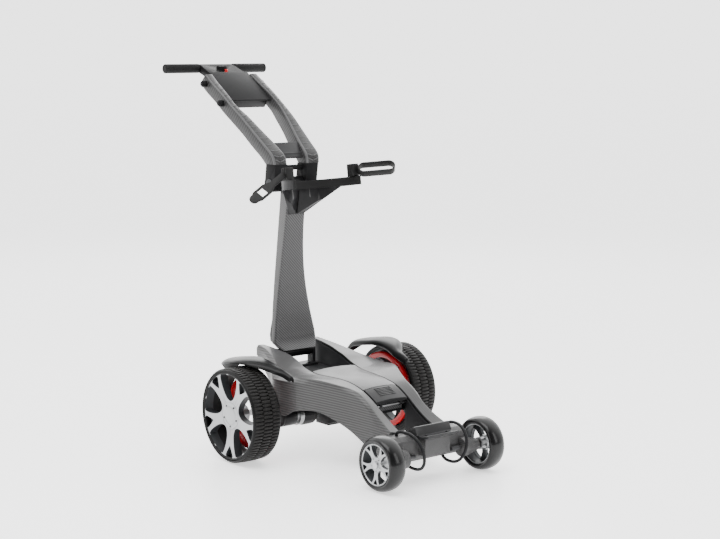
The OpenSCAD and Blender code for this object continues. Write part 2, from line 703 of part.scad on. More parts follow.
// ---- front wheels ----
front_bearing_r = front_r + 6;
front_bearing_w = 8;
front_hub_r = front_bearing_r + 4;
module front_tyre() {
    r = front_wheel_d / 2;
    rim = front_rim_d / 2;
    h = front_wheel_w / 2;
    color(rubber_black) turned_y(wheelbase, front_z, concat(
        [[rim, front_y - h + 5]],
        [for (a = [-75:15:75]) [rim + 1 + (r - rim - 1) * cos(a) ^ 0.7, front_y + h * sin(a)]],
        [[rim, front_y + h - 5]]));
}
module front_rim() {
    r = front_rim_d / 2;
    out = front_out_y - 3;
    color(silver) difference() {
        turned_y(wheelbase, front_z, [[0, front_y - 9], [front_hub_r, front_y - 9],
            [front_hub_r, out - 14], [r - 6, out - 12], [r - 6, front_in_y + 6],
            [r, front_in_y + 6], [r, out - 2], [r - 4, out], [r - 7, out - 3],
            [front_hub_r + 4, out - 5], [front_hub_r, out - 2], [0, out - 2]]);
        bar_y(wheelbase, front_z, front_bearing_r, front_y - 10, front_y + 9);
        bar_y(wheelbase, front_z, front_r + 5, front_y, out);
        for (k = [0:spokes - 1]) rotate_about(wheelbase, front_z, 90 + k * 360 / spokes)
            bar_y(wheelbase + 0.64 * r, front_z, 0.19 * r, out - 20, out + 5);
    }
}
module front_bearings() {
    color(steel) for (y = [front_y - 9, front_y + 9 - front_bearing_w]) difference() {
        bar_y(wheelbase, front_z, front_bearing_r, y, y + front_bearing_w);
        bar_y(wheelbase, front_z, front_r + running_fit, y - 1, y + front_bearing_w + 1);
    }
}
module front_tyre_left() { front_tyre(); }
module front_tyre_right() { right() front_tyre(); }
module front_rim_left() { front_rim(); }
module front_rim_right() { right() front_rim(); }
module front_bearings_left() { front_bearings(); }
module front_bearings_right() { right() front_bearings(); }

// ---- mast ----

// Mast at stations from 0, the foot, to 1, just below the handle's pin:
// station, front face x from the fold pin, half width, flange depth, spine back x, spine half width
mast = [
    [0.000,  30, 55, 14, -24, 44],
    [0.045,  11, 70, 15, -51, 48],
    [0.100,   8, 69, 16, -50, 48],
    [0.225,   1, 60, 18, -41, 44],
    [0.380,  -3, 49, 22, -34, 36],
    [0.550,  -2, 40, 26, -30, 31],
    [0.760,   6, 34, 30, -26, 28],
    [1.000,  21, 32, 34, -19, 27]];
mast_z0 = mast_pin_z + 12;
mast_z1 = handle_pin_z - 28;
mast_steps = 24;
mast_wall = 3;
function mast_z(s) = mast_z0 + s * (mast_z1 - mast_z0);
function mast_section(s) =
    let (z = mast_z(s), xf = mast_pin_x + curve(s, mast, 1), w = curve(s, mast, 2),
         xr = xf - curve(s, mast, 3), t = mast_wall, c = 4)
    [[xr, w, z], [xf - c, w, z], [xf - 1, w - 2, z], [xf, w - c - 1, z], [xf, c + 1 - w, z],
     [xf - 1, 2 - w, z], [xf - c, -w, z], [xr, -w, z], [xr, t - w, z], [xf - c - 1, t - w, z],
     [xf - t, c + 2 - w, z], [xf - t, w - c - 2, z], [xf - c - 1, w - t, z], [xr, w - t, z]];
module mast_shell() {
    color(carbon_grey) difference() {
        loft([for (i = [0:mast_steps]) mast_section(i / mast_steps)]);
        box([-400, -200, mast_z0 - 5], [100, 200, mast_z0 + trim]);
        box([-400, -200, mast_z1 - trim], [100, 200, mast_z1 + 5]);
    }
}
function spine_section(s) =
    let (z = mast_z(s), xf = mast_pin_x + curve(s, mast, 1) - 6, w = curve(s, mast, 5),
         xr = mast_pin_x + curve(s, mast, 4))
    [[xr, w - 6, z], [xr + 6, w, z], [xf, w, z], [xf, -w, z], [xr + 6, -w, z], [xr, 6 - w, z]];
module mast_spine() {
    color(satin_black) difference() {
        union() {
            loft([for (i = [0:mast_steps]) spine_section(i / mast_steps)]);
            bar_y(mast_pin_x, mast_pin_z, ear_r + 1, -knuckle_half_y, knuckle_half_y);
            box([mast_pin_x - 12, -42, mast_pin_z], [mast_pin_x + 12, 42, mast_z0 + 4]);
            bar_y(handle_pin_x, handle_pin_z, handle_pin_r + 9, -head_half_y, head_half_y);
            side_y([[handle_pin_x - 10, mast_z1 - 4], [handle_pin_x - 16, handle_pin_z],
                    [handle_pin_x + 16, handle_pin_z], [handle_pin_x + 22, mast_z1 + 10],
                    [handle_pin_x + 24, mast_z1 - 4]], -27, 27);
        }
        bar_y(mast_pin_x, mast_pin_z, mast_pin_r + running_fit, -100, 100);
        bar_y(handle_pin_x, handle_pin_z, handle_pin_r + running_fit, -100, 100);
    }
}

// Cradle: a half ring round the bag, tilted up towards its tips, with a gusset to the mast
module cradle_frame() {
    translate(cradle_root) rotate([0, -cradle_tilt, 0]) translate(-cradle_root) children();
}
cradle_z0 = cradle_root[2] - cradle_h / 2;
module cradle_band(r0, r1, z0, z1) {
    translate([cradle_x, 0, 0]) rotate([0, 0, 180 - cradle_span / 2])
        rotate_extrude(angle = cradle_span) translate([r0, z0]) square([r1 - r0, z1 - z0]);
}
gusset_z = handle_pin_z - 84;
function mast_front(z) = mast_pin_x + curve((z - mast_z0) / (mast_z1 - mast_z0), mast, 1);
module cradle() {
    r = cradle_r + pad_t;
    color(carbon_grey) {
        difference() {
            union() {
                cradle_frame() cradle_band(r, r + cradle_wall, cradle_z0, cradle_z0 + cradle_h);
                intersection() {
                    pair() hull() {
                        box([mast_front(gusset_z), 1, gusset_z],
                            [mast_front(gusset_z) + 4, 24, gusset_z + 6]);
                        box([mast_front(mast_z1), 1, mast_z1 - 6],
                            [mast_front(mast_z1) + 6, 30, cradle_z0 + 4]);
                        cradle_frame() translate([cradle_x, 0, cradle_z0])
                            rotate([0, 0, 120]) translate([r + 1, 0, 0]) cube([4, 2, 5]);
                    }
                    translate([mast_front(gusset_z), -200, 0]) cube([200, 400, 2000]);
                }
                box([handle_pin_x + 22, -20, mast_z1 + 11], [cradle_root[0] - 4, 20, mast_z1 + 24]);
            }
            cradle_frame() translate([cradle_x, 0, cradle_z0 - 200])
                cylinder(r = cradle_r + pad_t, h = 200 + cradle_h + 30);
            side_y([[handle_pin_x - 60, mast_z(1 - 7 / mast_steps)],
                    each [for (i = [mast_steps - 7:mast_steps]) let (z = mast_z(i / mast_steps))
                        [mast_front(z), z]],
                    [handle_pin_x - 60, mast_z1]], -60, 60);
        }
    }
}
module cradle_pad() {
    color(rubber_black) cradle_frame()
        cradle_band(cradle_r, cradle_r + pad_t, cradle_z0 + 1, cradle_z0 + cradle_h - 1);
}
keeper_l = 26;
keeper_w = 20;
keeper_h = 32;
keeper_y = cradle_r + pad_t;
module strap_keepers() {
    z = cradle_z0 + cradle_h;
    color(satin_black) cradle_frame() pair() {
        box([cradle_x - keeper_l, keeper_y - keeper_w/2, z],
            [cradle_x, keeper_y + keeper_w/2, z + keeper_h]);
        for (k = [0:2]) box([cradle_x - keeper_l + 3 + 8*k, keeper_y - keeper_w/2 - 1.5, z + 4],
            [cradle_x - keeper_l + 7 + 8*k, keeper_y + keeper_w/2 + 1.5, z + keeper_h + 1.5]);
    }
}
// Rubber strap: a flat closed loop hanging from the left keeper
loop_l = 84;
loop_h = 34;
strap_w = 22;
strap_t = 3.5;
loop_off = 6.5;
module strap_loop() {
    z = cradle_z0 + cradle_h + 15;
    color(rubber_black) cradle_frame()
        translate([cradle_x + loop_off, keeper_y + 2, z]) rotate([0, 0, 56]) rotate([52, 0, 0])
        translate([0, 0, -strap_w/2]) linear_extrude(strap_w) difference() {
            racetrack(loop_l, loop_h / 2);
            racetrack(loop_l, loop_h / 2 - strap_t);
        }
}
module racetrack(l, r) {
    translate([loop_h/2, 0]) circle(r = r);
    translate([l, 0]) circle(r = r);
    translate([loop_h/2, -r]) square([l - loop_h/2, 2*r]);
}
// Rubber strap: the tongue with its slot and round end, on the right keeper
tongue_neck_l = 62;
tongue_plate_l = 52;
tongue_plate_w = 34;
tongue_end_r = 13;
tongue_end_y = -tongue_neck_l - tongue_plate_l - 4;
tongue_side = [[9, 14], [tongue_plate_w / 2, -6], [tongue_plate_w / 2, 10 - tongue_plate_l],
    [tongue_end_r, -tongue_plate_l]];
module strap_tongue() {
    z = cradle_z0 + cradle_h + 16;
    color(rubber_black) cradle_frame()
        translate([cradle_x - keeper_l/2, -keeper_y - keeper_w/2 - 1.6, z])
        rotate([30, 0, 0]) rotate([0, 50, 0]) translate([0, 0, -strap_t/2])
        linear_extrude(strap_t) difference() {
            polygon(concat([[9, 0], [-9, 0]],
                [for (p = tongue_side) [-p[0], p[1] - tongue_neck_l]],
                [for (a = [180:20:360])
                    [tongue_end_r * cos(a), tongue_end_y + tongue_end_r * sin(a)]],
                [for (i = [len(tongue_side) - 1:-1:0]) let (p = tongue_side[i])
                    [p[0], p[1] - tongue_neck_l]]));
            translate([-10, -tongue_neck_l - 34]) square([20, 20]);
        }
}

// ---- handle ----

// Arm at stations from 0, above the hinge cap, to 1, at the yoke:
// station, back edge x and z, front edge x and z, outer y, inner y (from the fold pin)
arm = [
    [0.00,  -15,  53,  30,  53, 76, 33],
    [0.12,  -34,  72,  22,  78, 79, 35],
    [0.24,  -69,  98, -18, 110, 82, 42],
    [0.36, -108, 129, -60, 142, 85, 52],
    [0.50, -150, 158, -104, 176, 88, 62],
    [0.64, -193, 187, -152, 208, 90, 72],
    [0.76, -230, 213, -196, 238, 90, 70.5],
    [0.88, -274, 240, -244, 267, 90, 67.5],
    [1.00, -306, 263, -280, 290, 88, 64]];
arm_steps = 24;
reach_k = handle_reach / 361;
rise_k = handle_rise / 305;
function arm_section(s) =
    let (bx = handle_pin_x + curve(s, arm, 1) * reach_k, bz = handle_pin_z + curve(s, arm, 2) * rise_k,
         fx = handle_pin_x + curve(s, arm, 3) * reach_k, fz = handle_pin_z + curve(s, arm, 4) * rise_k,
         yo = curve(s, arm, 5), yi = curve(s, arm, 6), e = 0.12)
    [[bx, yo - 3, bz], [bx + (fx - bx)*e, yo, bz + (fz - bz)*e],
     [fx - (fx - bx)*e, yo, fz - (fz - bz)*e], [fx, yo - 3, fz], [fx, yi + 3, fz],
     [fx - (fx - bx)*e, yi, fz - (fz - bz)*e], [bx + (fx - bx)*e, yi, bz + (fz - bz)*e],
     [bx, yi + 3, bz]];
bolt_s = [0.70, 0.93];
bolt_r = 4;
knob_r = 9;
rod_half_y = 60;
function bolt_at(s) = [handle_pin_x + (curve(s, arm, 1) + curve(s, arm, 3)) / 2 * reach_k,
    handle_pin_z + (curve(s, arm, 2) + curve(s, arm, 4)) / 2 * rise_k];
module handle_arms() {
    color(carbon_grey) pair() difference() {
        loft([for (i = [0:arm_steps]) arm_section(i / arm_steps)]);
        for (s = bolt_s) let (p = bolt_at(s)) bar_y(p[0], p[1], bolt_r, 50, 100);
        bar_y(rod_x, rod_z, rod_r, 20, rod_half_y);
    }
}
module handle_bolts() {
    color(satin_black) pair() for (s = bolt_s) {
        p = bolt_at(s);
        bar_y(p[0], p[1], bolt_r, s == bolt_s[1] ? housing_half_y - bolt_in
            : curve(s, arm, 6) + 1, 91);
        bar_y(p[0], p[1], knob_r, 91, 103);
    }
}
// Dark end caps of the arms, which turn on the fold pin
cap_top = 52.5;
module hinge_caps() {
    color(satin_black) pair() difference() {
        union() {
            bar_y(handle_pin_x, handle_pin_z, 23, cap_in_y, cap_out_y);
            side_y([[handle_pin_x - 22, handle_pin_z], [handle_pin_x - 15, handle_pin_z + cap_top],
                    [handle_pin_x + 30, handle_pin_z + cap_top],
                    [handle_pin_x + 22, handle_pin_z]], cap_in_y, cap_out_y);
        }
        bar_y(handle_pin_x, handle_pin_z, handle_pin_r, 0, 100);
        bar_y(lever_x, lever_z, lever_pin_r + running_fit, 0, cap_in_y + 10);
    }
}
module handle_pin() {
    color(steel) bar_y(handle_pin_x, handle_pin_z, handle_pin_r, -cap_out_y, cap_out_y);
}
// Plate between the arms, on a tie rod that is held in both of them
rod_x = handle_pin_x - 3 * reach_k;
rod_z = handle_pin_z + 78 * rise_k;
rod_r = 4;
module cross_plate() {
    color(satin_black) {
        hull() {
            box([rod_x + 5, -33, rod_z - 12], [rod_x + 10, 33, rod_z - 8]);
            box([rod_x - 24, -39, rod_z + 26], [rod_x - 19, 39, rod_z + 30]);
        }
        bar_y(rod_x, rod_z, rod_r, -rod_half_y, rod_half_y);
    }
}
lever_pin_r = 4;
module fold_lever() {
    color(satin_black) {
        bar_y(lever_x, lever_z, 7, -cap_in_y + 1, cap_in_y - 1);
        bar_y(lever_x, lever_z, lever_pin_r, -cap_in_y - 8, cap_in_y + 8);
        side_y([[lever_x, lever_z - 3], [lever_x - 3, lever_z + 5], [lever_x - 22, lever_z + 3],
                [lever_x - 34, lever_z - 8], [lever_x - 31, lever_z - 12],
                [lever_x - 19, lever_z - 3]], -26, 26);
    }
}
// Crossbar and the yoke that joins it to the arms
core_r = grip_r - 3;
yoke_x = handle_pin_x - 306 * reach_k;
module handle_bar() {
    color(satin_black) difference() {
        union() {
            bar_y(bar_cx, bar_cz, core_r, -bar_w/2 + 3, bar_w/2 - 3);
            hull() {
                bar_y(bar_cx, bar_cz, grip_r - 1, 3 - grip_in_y, grip_in_y - 3);
                box([yoke_x + 2, -62, handle_pin_z + 276 * rise_k],
                    [yoke_x + 14, 62, handle_pin_z + 290 * rise_k]);
            }
        }
        translate([dial_x, 0, dial_z]) cylinder(r = dial_r + 1, h = 40);
        translate([dial_x, 0, dial_z - 12]) cylinder(r = dial_pin_r + running_fit, h = 40);
        translate([button_x, 0, button_z - 8]) cylinder(r = button_r + running_fit, h = 40);
    }
}
module grips() {
    y0 = grip_in_y;
    y1 = bar_w / 2;
    color(rubber_black) pair() difference() {
        turned_y(bar_cx, bar_cz, [[0, y0], [grip_r - 1, y0], [grip_r, y0 + 2], [grip_r, y1 - 4],
            [grip_r - 1.5, y1 - 1], [grip_r - 4, y1], [0, y1]]);
        bar_y(bar_cx, bar_cz, core_r, 0, bar_w/2 - 3);
    }
}
dial_r = 14;
dial_pin_r = 4;
dial_z = bar_cz - 6;
module speed_dial() {
    color(satin_black) translate([dial_x, 0, dial_z + 0.5]) {
        cylinder(r = dial_r, h = 12);
        translate([0, 0, -9]) cylinder(r = dial_pin_r, h = 12);
        for (a = [0:30:330]) rotate([0, 0, a]) translate([dial_r - 0.6, 0, 1]) cylinder(r = 1, h = 10);
    }
}
button_r = 5;
button_z = bar_cz - 16;
module power_button() {
    color(signal_red) translate([button_x, 0, button_z - 4]) cylinder(r = button_r, h = 18);
}
// Control unit between the arms, behind a flat cover
panel_a = atan2(78 * rise_k, 109 * reach_k);
panel_l = norm([109 * reach_k, 78 * rise_k]);
panel_top = [handle_pin_x - 293 * reach_k, handle_pin_z + 297 * rise_k];
module on_panel() {
    translate([panel_top[0], 0, panel_top[1]]) rotate([0, panel_a, 0]) children();
}
cover_depth = 5;
housing_half_y = 61;
bolt_in = 8;
module control_housing() {
    p = bolt_at(bolt_s[1]);
    color(satin_black) difference() {
        on_panel() box([24, -housing_half_y, -30], [panel_l - 4, housing_half_y, -cover_depth]);
        pair() bar_y(p[0], p[1], bolt_r, housing_half_y - bolt_in, 100);
    }
}
module control_cover() {
    color(satin_black) on_panel() translate([0, 0, -cover_depth]) linear_extrude(cover_depth)
        polygon([[2, -62.5], [panel_l, -69.5], [panel_l, 69.5], [2, 62.5]]);
}

chassis_shell();
chassis_tray();
front_crossbar();
bag_rest();
bungee_left();
bungee_right();
fender_left();
fender_right();
mast_bracket();
mast_pin();
battery_pack();
controller_box();
gearbox_left();
gearbox_right();
gearbox_covers();
motor_left();
motor_right();
rear_bearings();
front_axles();
chassis_screws();
lid_pin();
battery_lid();
lid_latch();
rear_tyre_left();
rear_rim_left();
drive_ring_left();
rear_axle_left();
wheel_gear_left();
rear_tyre_right();
rear_rim_right();
drive_ring_right();
rear_axle_right();
wheel_gear_right();
pinion_left();
pinion_right();
front_tyre_left();
front_rim_left();
front_bearings_left();
front_tyre_right();
front_rim_right();
front_bearings_right();
mast_shell();
mast_spine();
cradle();
cradle_pad();
strap_keepers();
strap_loop();
strap_tongue();
handle_arms();
cross_plate();
handle_bar();
grips();
control_housing();
control_cover();
handle_bolts();
hinge_caps();
handle_pin();
fold_lever();
speed_dial();
power_button();
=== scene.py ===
import math

import bmesh
import bpy
from mathutils import Matrix, Vector


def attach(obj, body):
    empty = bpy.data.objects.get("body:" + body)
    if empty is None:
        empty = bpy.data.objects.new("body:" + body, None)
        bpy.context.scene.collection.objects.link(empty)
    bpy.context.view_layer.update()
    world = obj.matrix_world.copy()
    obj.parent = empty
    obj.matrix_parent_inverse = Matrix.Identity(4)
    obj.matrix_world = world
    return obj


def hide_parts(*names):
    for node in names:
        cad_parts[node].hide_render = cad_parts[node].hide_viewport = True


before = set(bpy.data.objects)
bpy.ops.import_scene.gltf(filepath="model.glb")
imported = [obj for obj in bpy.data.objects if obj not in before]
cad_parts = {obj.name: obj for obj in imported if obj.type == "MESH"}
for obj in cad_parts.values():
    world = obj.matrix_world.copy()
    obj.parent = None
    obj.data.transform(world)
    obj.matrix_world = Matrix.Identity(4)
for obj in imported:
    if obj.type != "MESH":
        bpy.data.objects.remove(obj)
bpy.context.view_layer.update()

# ---- Camera ----
# A long lens a little above the deck, in front of the trolley's right-hand side.
camera = bpy.data.cameras.new("camera")
camera.lens = 80.05
camera.sensor_width = 36
camera_object = bpy.data.objects.new("camera", camera)
bpy.context.scene.collection.objects.link(camera_object)
camera_object.matrix_world = Matrix(
    (
        (0.6293, -0.1082, 0.7697, 3.3698),
        (0.7771, 0.0876, -0.6233, -2.5946),
        (0.0, 0.9903, 0.1392, 1.0796),
        (0.0, 0.0, 0.0, 1.0),
    )
)
bpy.context.scene.camera = camera_object

# ---- Elastic cord loops ----
# One loop each side of the bag rest, from the crossbar's top round its front and back under it.
# Route points are in millimetres, x from the crossbar's middle.


def shader(name, colour, rough, metal=0.0, coat=0.0, shine=0.15):
    made = bpy.data.materials.new(name)
    made.use_nodes = True
    surface = made.node_tree.nodes["Principled BSDF"]
    surface.inputs["Base Color"].default_value = (*colour, 1.0)
    surface.inputs["Roughness"].default_value = rough
    surface.inputs["Metallic"].default_value = metal
    surface.inputs["Coat Weight"].default_value = coat
    surface.inputs["Coat Roughness"].default_value = 0.12
    surface.inputs["Specular IOR Level"].default_value = shine
    return made


def object_place(made):
    return made.node_tree.nodes.new("ShaderNodeTexCoord").outputs["Object"]


def maths(made, kind, a, b=0.0, c=0.0):
    node = made.node_tree.nodes.new("ShaderNodeMath")
    node.operation = kind
    for socket, value in zip(node.inputs, (a, b, c)):
        if isinstance(value, (int, float)):
            socket.default_value = value
        else:
            made.node_tree.links.new(value, socket)
    return node.outputs[0]


def wave(made, direction, pitch):
    # from 0 in a groove to 1 on a ridge, along a direction in the object's own space
    dot = made.node_tree.nodes.new("ShaderNodeVectorMath")
    dot.operation = "DOT_PRODUCT"
    made.node_tree.links.new(object_place(made), dot.inputs[0])
    dot.inputs[1].default_value = Vector(direction).normalized() * (2 * math.pi / pitch)
    return maths(made, "MULTIPLY_ADD", maths(made, "SINE", dot.outputs["Value"]), 0.5, 0.5)


def noise(made, scale):
    node = made.node_tree.nodes.new("ShaderNodeTexNoise")
    node.inputs["Scale"].default_value = scale
    node.inputs["Detail"].default_value = 3.0
    made.node_tree.links.new(object_place(made), node.inputs["Vector"])
    return node.outputs["Fac"]


def tint(made, amount, dark, light):
    mix = made.node_tree.nodes.new("ShaderNodeMix")
    mix.data_type = "RGBA"
    mix.inputs[6].default_value = (*dark, 1.0)
    mix.inputs[7].default_value = (*light, 1.0)
    made.node_tree.links.new(amount, mix.inputs[0])
    made.node_tree.links.new(
        mix.outputs[2], made.node_tree.nodes["Principled BSDF"].inputs["Base Color"]
    )


def relief(made, height, depth):
    bump = made.node_tree.nodes.new("ShaderNodeBump")
    bump.inputs["Strength"].default_value = 1.0
    bump.inputs["Distance"].default_value = depth
    made.node_tree.links.new(height, bump.inputs["Height"])
    made.node_tree.links.new(
        bump.outputs["Normal"], made.node_tree.nodes["Principled BSDF"].inputs["Normal"]
    )


def rough_by(made, amount, low, high):
    spread = maths(made, "MULTIPLY_ADD", amount, high - low, low)
    made.node_tree.links.new(
        spread, made.node_tree.nodes["Principled BSDF"].inputs["Roughness"]
    )


def grained(name, colour, rough, metal=0.0, coat=0.0, scale=900.0, depth=0.00008, shine=0.15):
    # a moulded or cast finish: fine grain with a little spread in its gloss
    made = shader(name, colour, rough, metal, coat, shine)
    relief(made, noise(made, scale), depth)
    rough_by(made, noise(made, scale * 0.03), rough * 0.8, min(1.0, rough * 1.2))
    return made


loop_rubber = shader("loop_rubber", (0.012, 0.012, 0.013), 0.45)
loop_weave = maths(
    loop_rubber,
    "MULTIPLY",
    wave(loop_rubber, (1, 0.6, 1), 0.0016),
    wave(loop_rubber, (-1, 0.6, 1), 0.0016),
)
relief(loop_rubber, loop_weave, 0.0002)
tint(loop_rubber, loop_weave, (0.006, 0.006, 0.007), (0.02, 0.02, 0.021))

crossbar_x = 0.417
loop_route = [
    (-4, 84, 118), (-2, 85, 124), (8, 85, 130), (26, 84, 132), (46, 82, 130),
    (65, 79, 121), (79, 75, 105), (85, 71, 86), (81, 66, 64), (68, 62, 47),
    (50, 60, 39), (30, 60, 38), (14, 61, 41), (6, 62, 46), (4, 62, 51),
]
loop_diameter = 0.008


def smooth_route(points, parts):
    out = []
    for i in range(len(points) - 1):
        a, b, c, d = (
            Vector(points[j]) for j in (max(i - 1, 0), i, i + 1, min(i + 2, len(points) - 1))
        )
        for k in range(parts):
            u = k / parts
            out.append(
                0.5 * (2 * b + (c - a) * u + (2 * a - 5 * b + 4 * c - d) * u * u
                       + (3 * b - a - 3 * c + d) * u * u * u)
            )
    return [*out, Vector(points[-1])]


for side, name in ((1, "bungee_left"), (-1, "bungee_right")):
    line = smooth_route(
        [(crossbar_x + x / 1000, side * y / 1000, z / 1000) for x, y, z in loop_route], 6
    )
    loop_curve = bpy.data.curves.new("cord_" + name, "CURVE")
    loop_curve.dimensions = "3D"
    spline = loop_curve.splines.new("POLY")
    spline.points.add(len(line) - 1)
    for point, at in zip(spline.points, line):
        point.co = (*at, 1.0)
    loop_curve.bevel_depth = loop_diameter / 2
    loop_curve.bevel_resolution = 5
    loop_curve.use_fill_caps = True
    loop_curve.materials.append(loop_rubber)
    loop = bpy.data.objects.new("cord_" + name, loop_curve)
    bpy.context.scene.collection.objects.link(loop)
    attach(loop, "chassis")
    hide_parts(name)

# ---- Floor ----
# A plain pale studio floor that runs on far behind the trolley; away points along the view.
floor_mesh = bpy.data.meshes.new("floor")
floor_shape = bmesh.new()
away = Vector((-0.7697, 0.6233, 0)).normalized()
across = Vector((-away.y, away.x, 0))
floor_near, floor_far, floor_side = -9, 40, 22
corners = [
    away * d + across * w
    for d, w in (
        (floor_near, -floor_side), (floor_far, -floor_side), (floor_far, floor_side),
        (floor_near, floor_side),
    )
]
floor_shape.faces.new([floor_shape.verts.new(corner) for corner in corners])
floor_shape.to_mesh(floor_mesh)
floor_shape.free()
floor = bpy.data.objects.new("floor", floor_mesh)
bpy.context.scene.collection.objects.link(floor)
floor_white = shader("floor_white", (0.92, 0.92, 0.925), 0.38)
rough_by(floor_white, noise(floor_white, 3.0), 0.34, 0.42)
glow = floor_white.node_tree.nodes["Principled BSDF"]
glow.inputs["Emission Color"].default_value = (1.0, 1.0, 1.0, 1.0)
glow.inputs["Emission Strength"].default_value = 1.0
floor_mesh.materials.append(floor_white)

# ---- Lights ----
# A soft key light above, strips to the right and the front and a light behind, in a room that is
# bright behind the trolley and dim in front of it.
world = bpy.data.worlds.new("studio")
bpy.context.scene.world = world
world.use_nodes = True
background = world.node_tree.nodes["Background"]
background.inputs["Color"].default_value = (1.0, 1.0, 1.0, 1.0)
facing = world.node_tree.nodes.new("ShaderNodeTexCoord")
depth = world.node_tree.nodes.new("ShaderNodeVectorMath")
depth.operation = "DOT_PRODUCT"
depth.inputs[1].default_value = (away.x, away.y, 0.25)
spread = world.node_tree.nodes.new("ShaderNodeMapRange")
spread.interpolation_type = "SMOOTHSTEP"
for socket, value in zip(("From Min", "From Max", "To Min", "To Max"), (-0.35, 0.55, 0.3, 3.0)):
    spread.inputs[socket].default_value = value
world.node_tree.links.new(facing.outputs["Generated"], depth.inputs[0])
world.node_tree.links.new(depth.outputs["Value"], spread.inputs["Value"])
world.node_tree.links.new(spread.outputs["Result"], background.inputs["Strength"])


def soft_light(name, at, aim, size, watts):
    light = bpy.data.lights.new(name, "AREA")
    light.shape = "RECTANGLE"
    light.size, light.size_y = size
    light.energy = watts
    made = bpy.data.objects.new(name, light)
    bpy.context.scene.collection.objects.link(made)
    made.location = at
    made.rotation_mode = "QUATERNION"
    made.rotation_quaternion = (Vector(aim) - Vector(at)).to_track_quat("-Z", "Y")


soft_light("key", (0.6, -1.2, 3.4), (0.0, 0.0, 0.4), (3.0, 2.0), 110)
soft_light("strip_right", (1.2, -3.2, 1.6), (0.0, 0.0, 0.5), (1.0, 2.6), 30)
soft_light("strip_front", (3.6, 1.4, 1.8), (0.1, 0.0, 0.5), (1.0, 2.6), 35)
soft_light("back", (-3.0, 2.2, 2.6), (0.0, 0.0, 0.5), (3.0, 2.0), 60)

# ---- Chassis rails ----
# A moulded rail each side: ribbed weave outside, fine weave on top, black inside, rear end closed.
# Table: station, inner edge y z, crease y z, shoulder y z, lower edge z, in millimetres.


def seat(x, table):
    i = 0
    while i < len(table) - 2 and x >= table[i + 1][0]:
        i += 1
    return i


def through(x, table, k):
    # a smooth curve through column k of a table
    def slope(i):
        a, b = max(i - 1, 0), min(i + 1, len(table) - 1)
        return (table[b][k] - table[a][k]) / (table[b][0] - table[a][0])

    i = seat(x, table)
    h = table[i + 1][0] - table[i][0]
    u = (x - table[i][0]) / h
    return (
        (2 * u**3 - 3 * u**2 + 1) * table[i][k]
        + (u**3 - 2 * u**2 + u) * slope(i) * h
        + (3 * u**2 - 2 * u**3) * table[i + 1][k]
        + (u**3 - u**2) * slope(i + 1) * h
    )


def skin_rings(shape, rings):
    # closed rings of points in millimetres, joined into a skin
    made = [[shape.verts.new(Vector(p) / 1000) for p in ring] for ring in rings]
    count = len(made[0])
    faces = []
    for a, b in zip(made, made[1:]):
        for i in range(count):
            j = (i + 1) % count
            faces.append(shape.faces.new((a[i], a[j], b[j], b[i])))
    shape.faces.new(made[0])
    shape.faces.new(made[-1])
    return faces


def mirrored(shape):
    # a copy on the other side of the trolley's middle plane
    both = bmesh.ops.duplicate(shape, geom=shape.verts[:] + shape.edges[:] + shape.faces[:])
    for g in both["geom"]:
        if isinstance(g, bmesh.types.BMVert):
            g.co.y = -g.co.y
    copied = [g for g in both["geom"] if isinstance(g, bmesh.types.BMFace)]
    bmesh.ops.reverse_faces(shape, faces=copied)


def soften(shape, width, segments=2, angle=28.0):
    # round the edges sharper than angle, width in millimetres
    edges = [
        e
        for e in shape.edges
        if len(e.link_faces) == 2 and angle < math.degrees(e.calc_face_angle(0.0))
    ]
    bmesh.ops.bevel(
        shape, geom=edges, offset=width / 1000, offset_type="OFFSET", segments=segments,
        profile=0.5, affect="EDGES", clamp_overlap=True, material=-1,
    )


def piece(name, shape, materials, body, nodes, sharp=40.0, rounded=0.0):
    # the finished mesh, riding on its body in place of its CAD nodes
    bmesh.ops.recalc_face_normals(shape, faces=shape.faces[:])
    for face in shape.faces:
        face.smooth = True
    for edge in shape.edges:
        edge.smooth = (
            len(edge.link_faces) != 2 or math.degrees(edge.calc_face_angle(0.0)) < sharp
        )
    mesh = bpy.data.meshes.new(name)
    shape.to_mesh(mesh)
    shape.free()
    for m in materials:
        mesh.materials.append(m)
    made = bpy.data.objects.new(name, mesh)
    bpy.context.scene.collection.objects.link(made)
    if rounded:
        bevel = made.modifiers.new("edges", "BEVEL")
        bevel.width = rounded / 1000
        bevel.segments = 3
        bevel.limit_method = "ANGLE"
        bevel.angle_limit = math.radians(24)
        made.modifiers.new("shading", "WEIGHTED_NORMAL").keep_sharp = True
    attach(made, body)
    if nodes:
        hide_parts(*nodes)
    return made


def cad_copy(*nodes):
    # a merged working copy of CAD meshes
    shape = bmesh.new()
    for node in nodes:
        shape.from_mesh(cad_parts[node].data)
    bmesh.ops.remove_doubles(shape, verts=shape.verts[:], dist=2e-6)
    bmesh.ops.dissolve_limit(
        shape, angle_limit=math.radians(0.6), verts=shape.verts[:], edges=shape.edges[:]
    )
    return shape


def weave(name, dark, light, direction, pitch, depth, cross, rough=0.42, coat=0.15):
    # ribs along one direction with a finer thread across them
    made = shader(name, light, rough, 0.0, coat)
    rib = wave(made, direction, pitch)
    thread = wave(made, cross, pitch * 0.42)
    both = maths(made, "MULTIPLY_ADD", thread, 0.35, maths(made, "MULTIPLY", rib, 0.65))
    tint(made, both, dark, light)
    relief(made, both, depth)
    rough_by(made, noise(made, 30.0), rough * 0.85, rough * 1.15)
    return made


rail_side = weave("rail_side", (0.035, 0.035, 0.035), (0.098, 0.097, 0.097), (0, 0.25, 1), 0.0062,
                  0.0004, (1, 0, 0.35))
rail_top = weave("rail_top", (0.0468, 0.0468, 0.0472), (0.072, 0.0716, 0.072), (1, 0.5, 0), 0.0034,
                 0.00012, (1, -0.5, 0), 0.36, 0.25)
rail_black = grained("rail_black", (0.006, 0.006, 0.0065), 0.5)

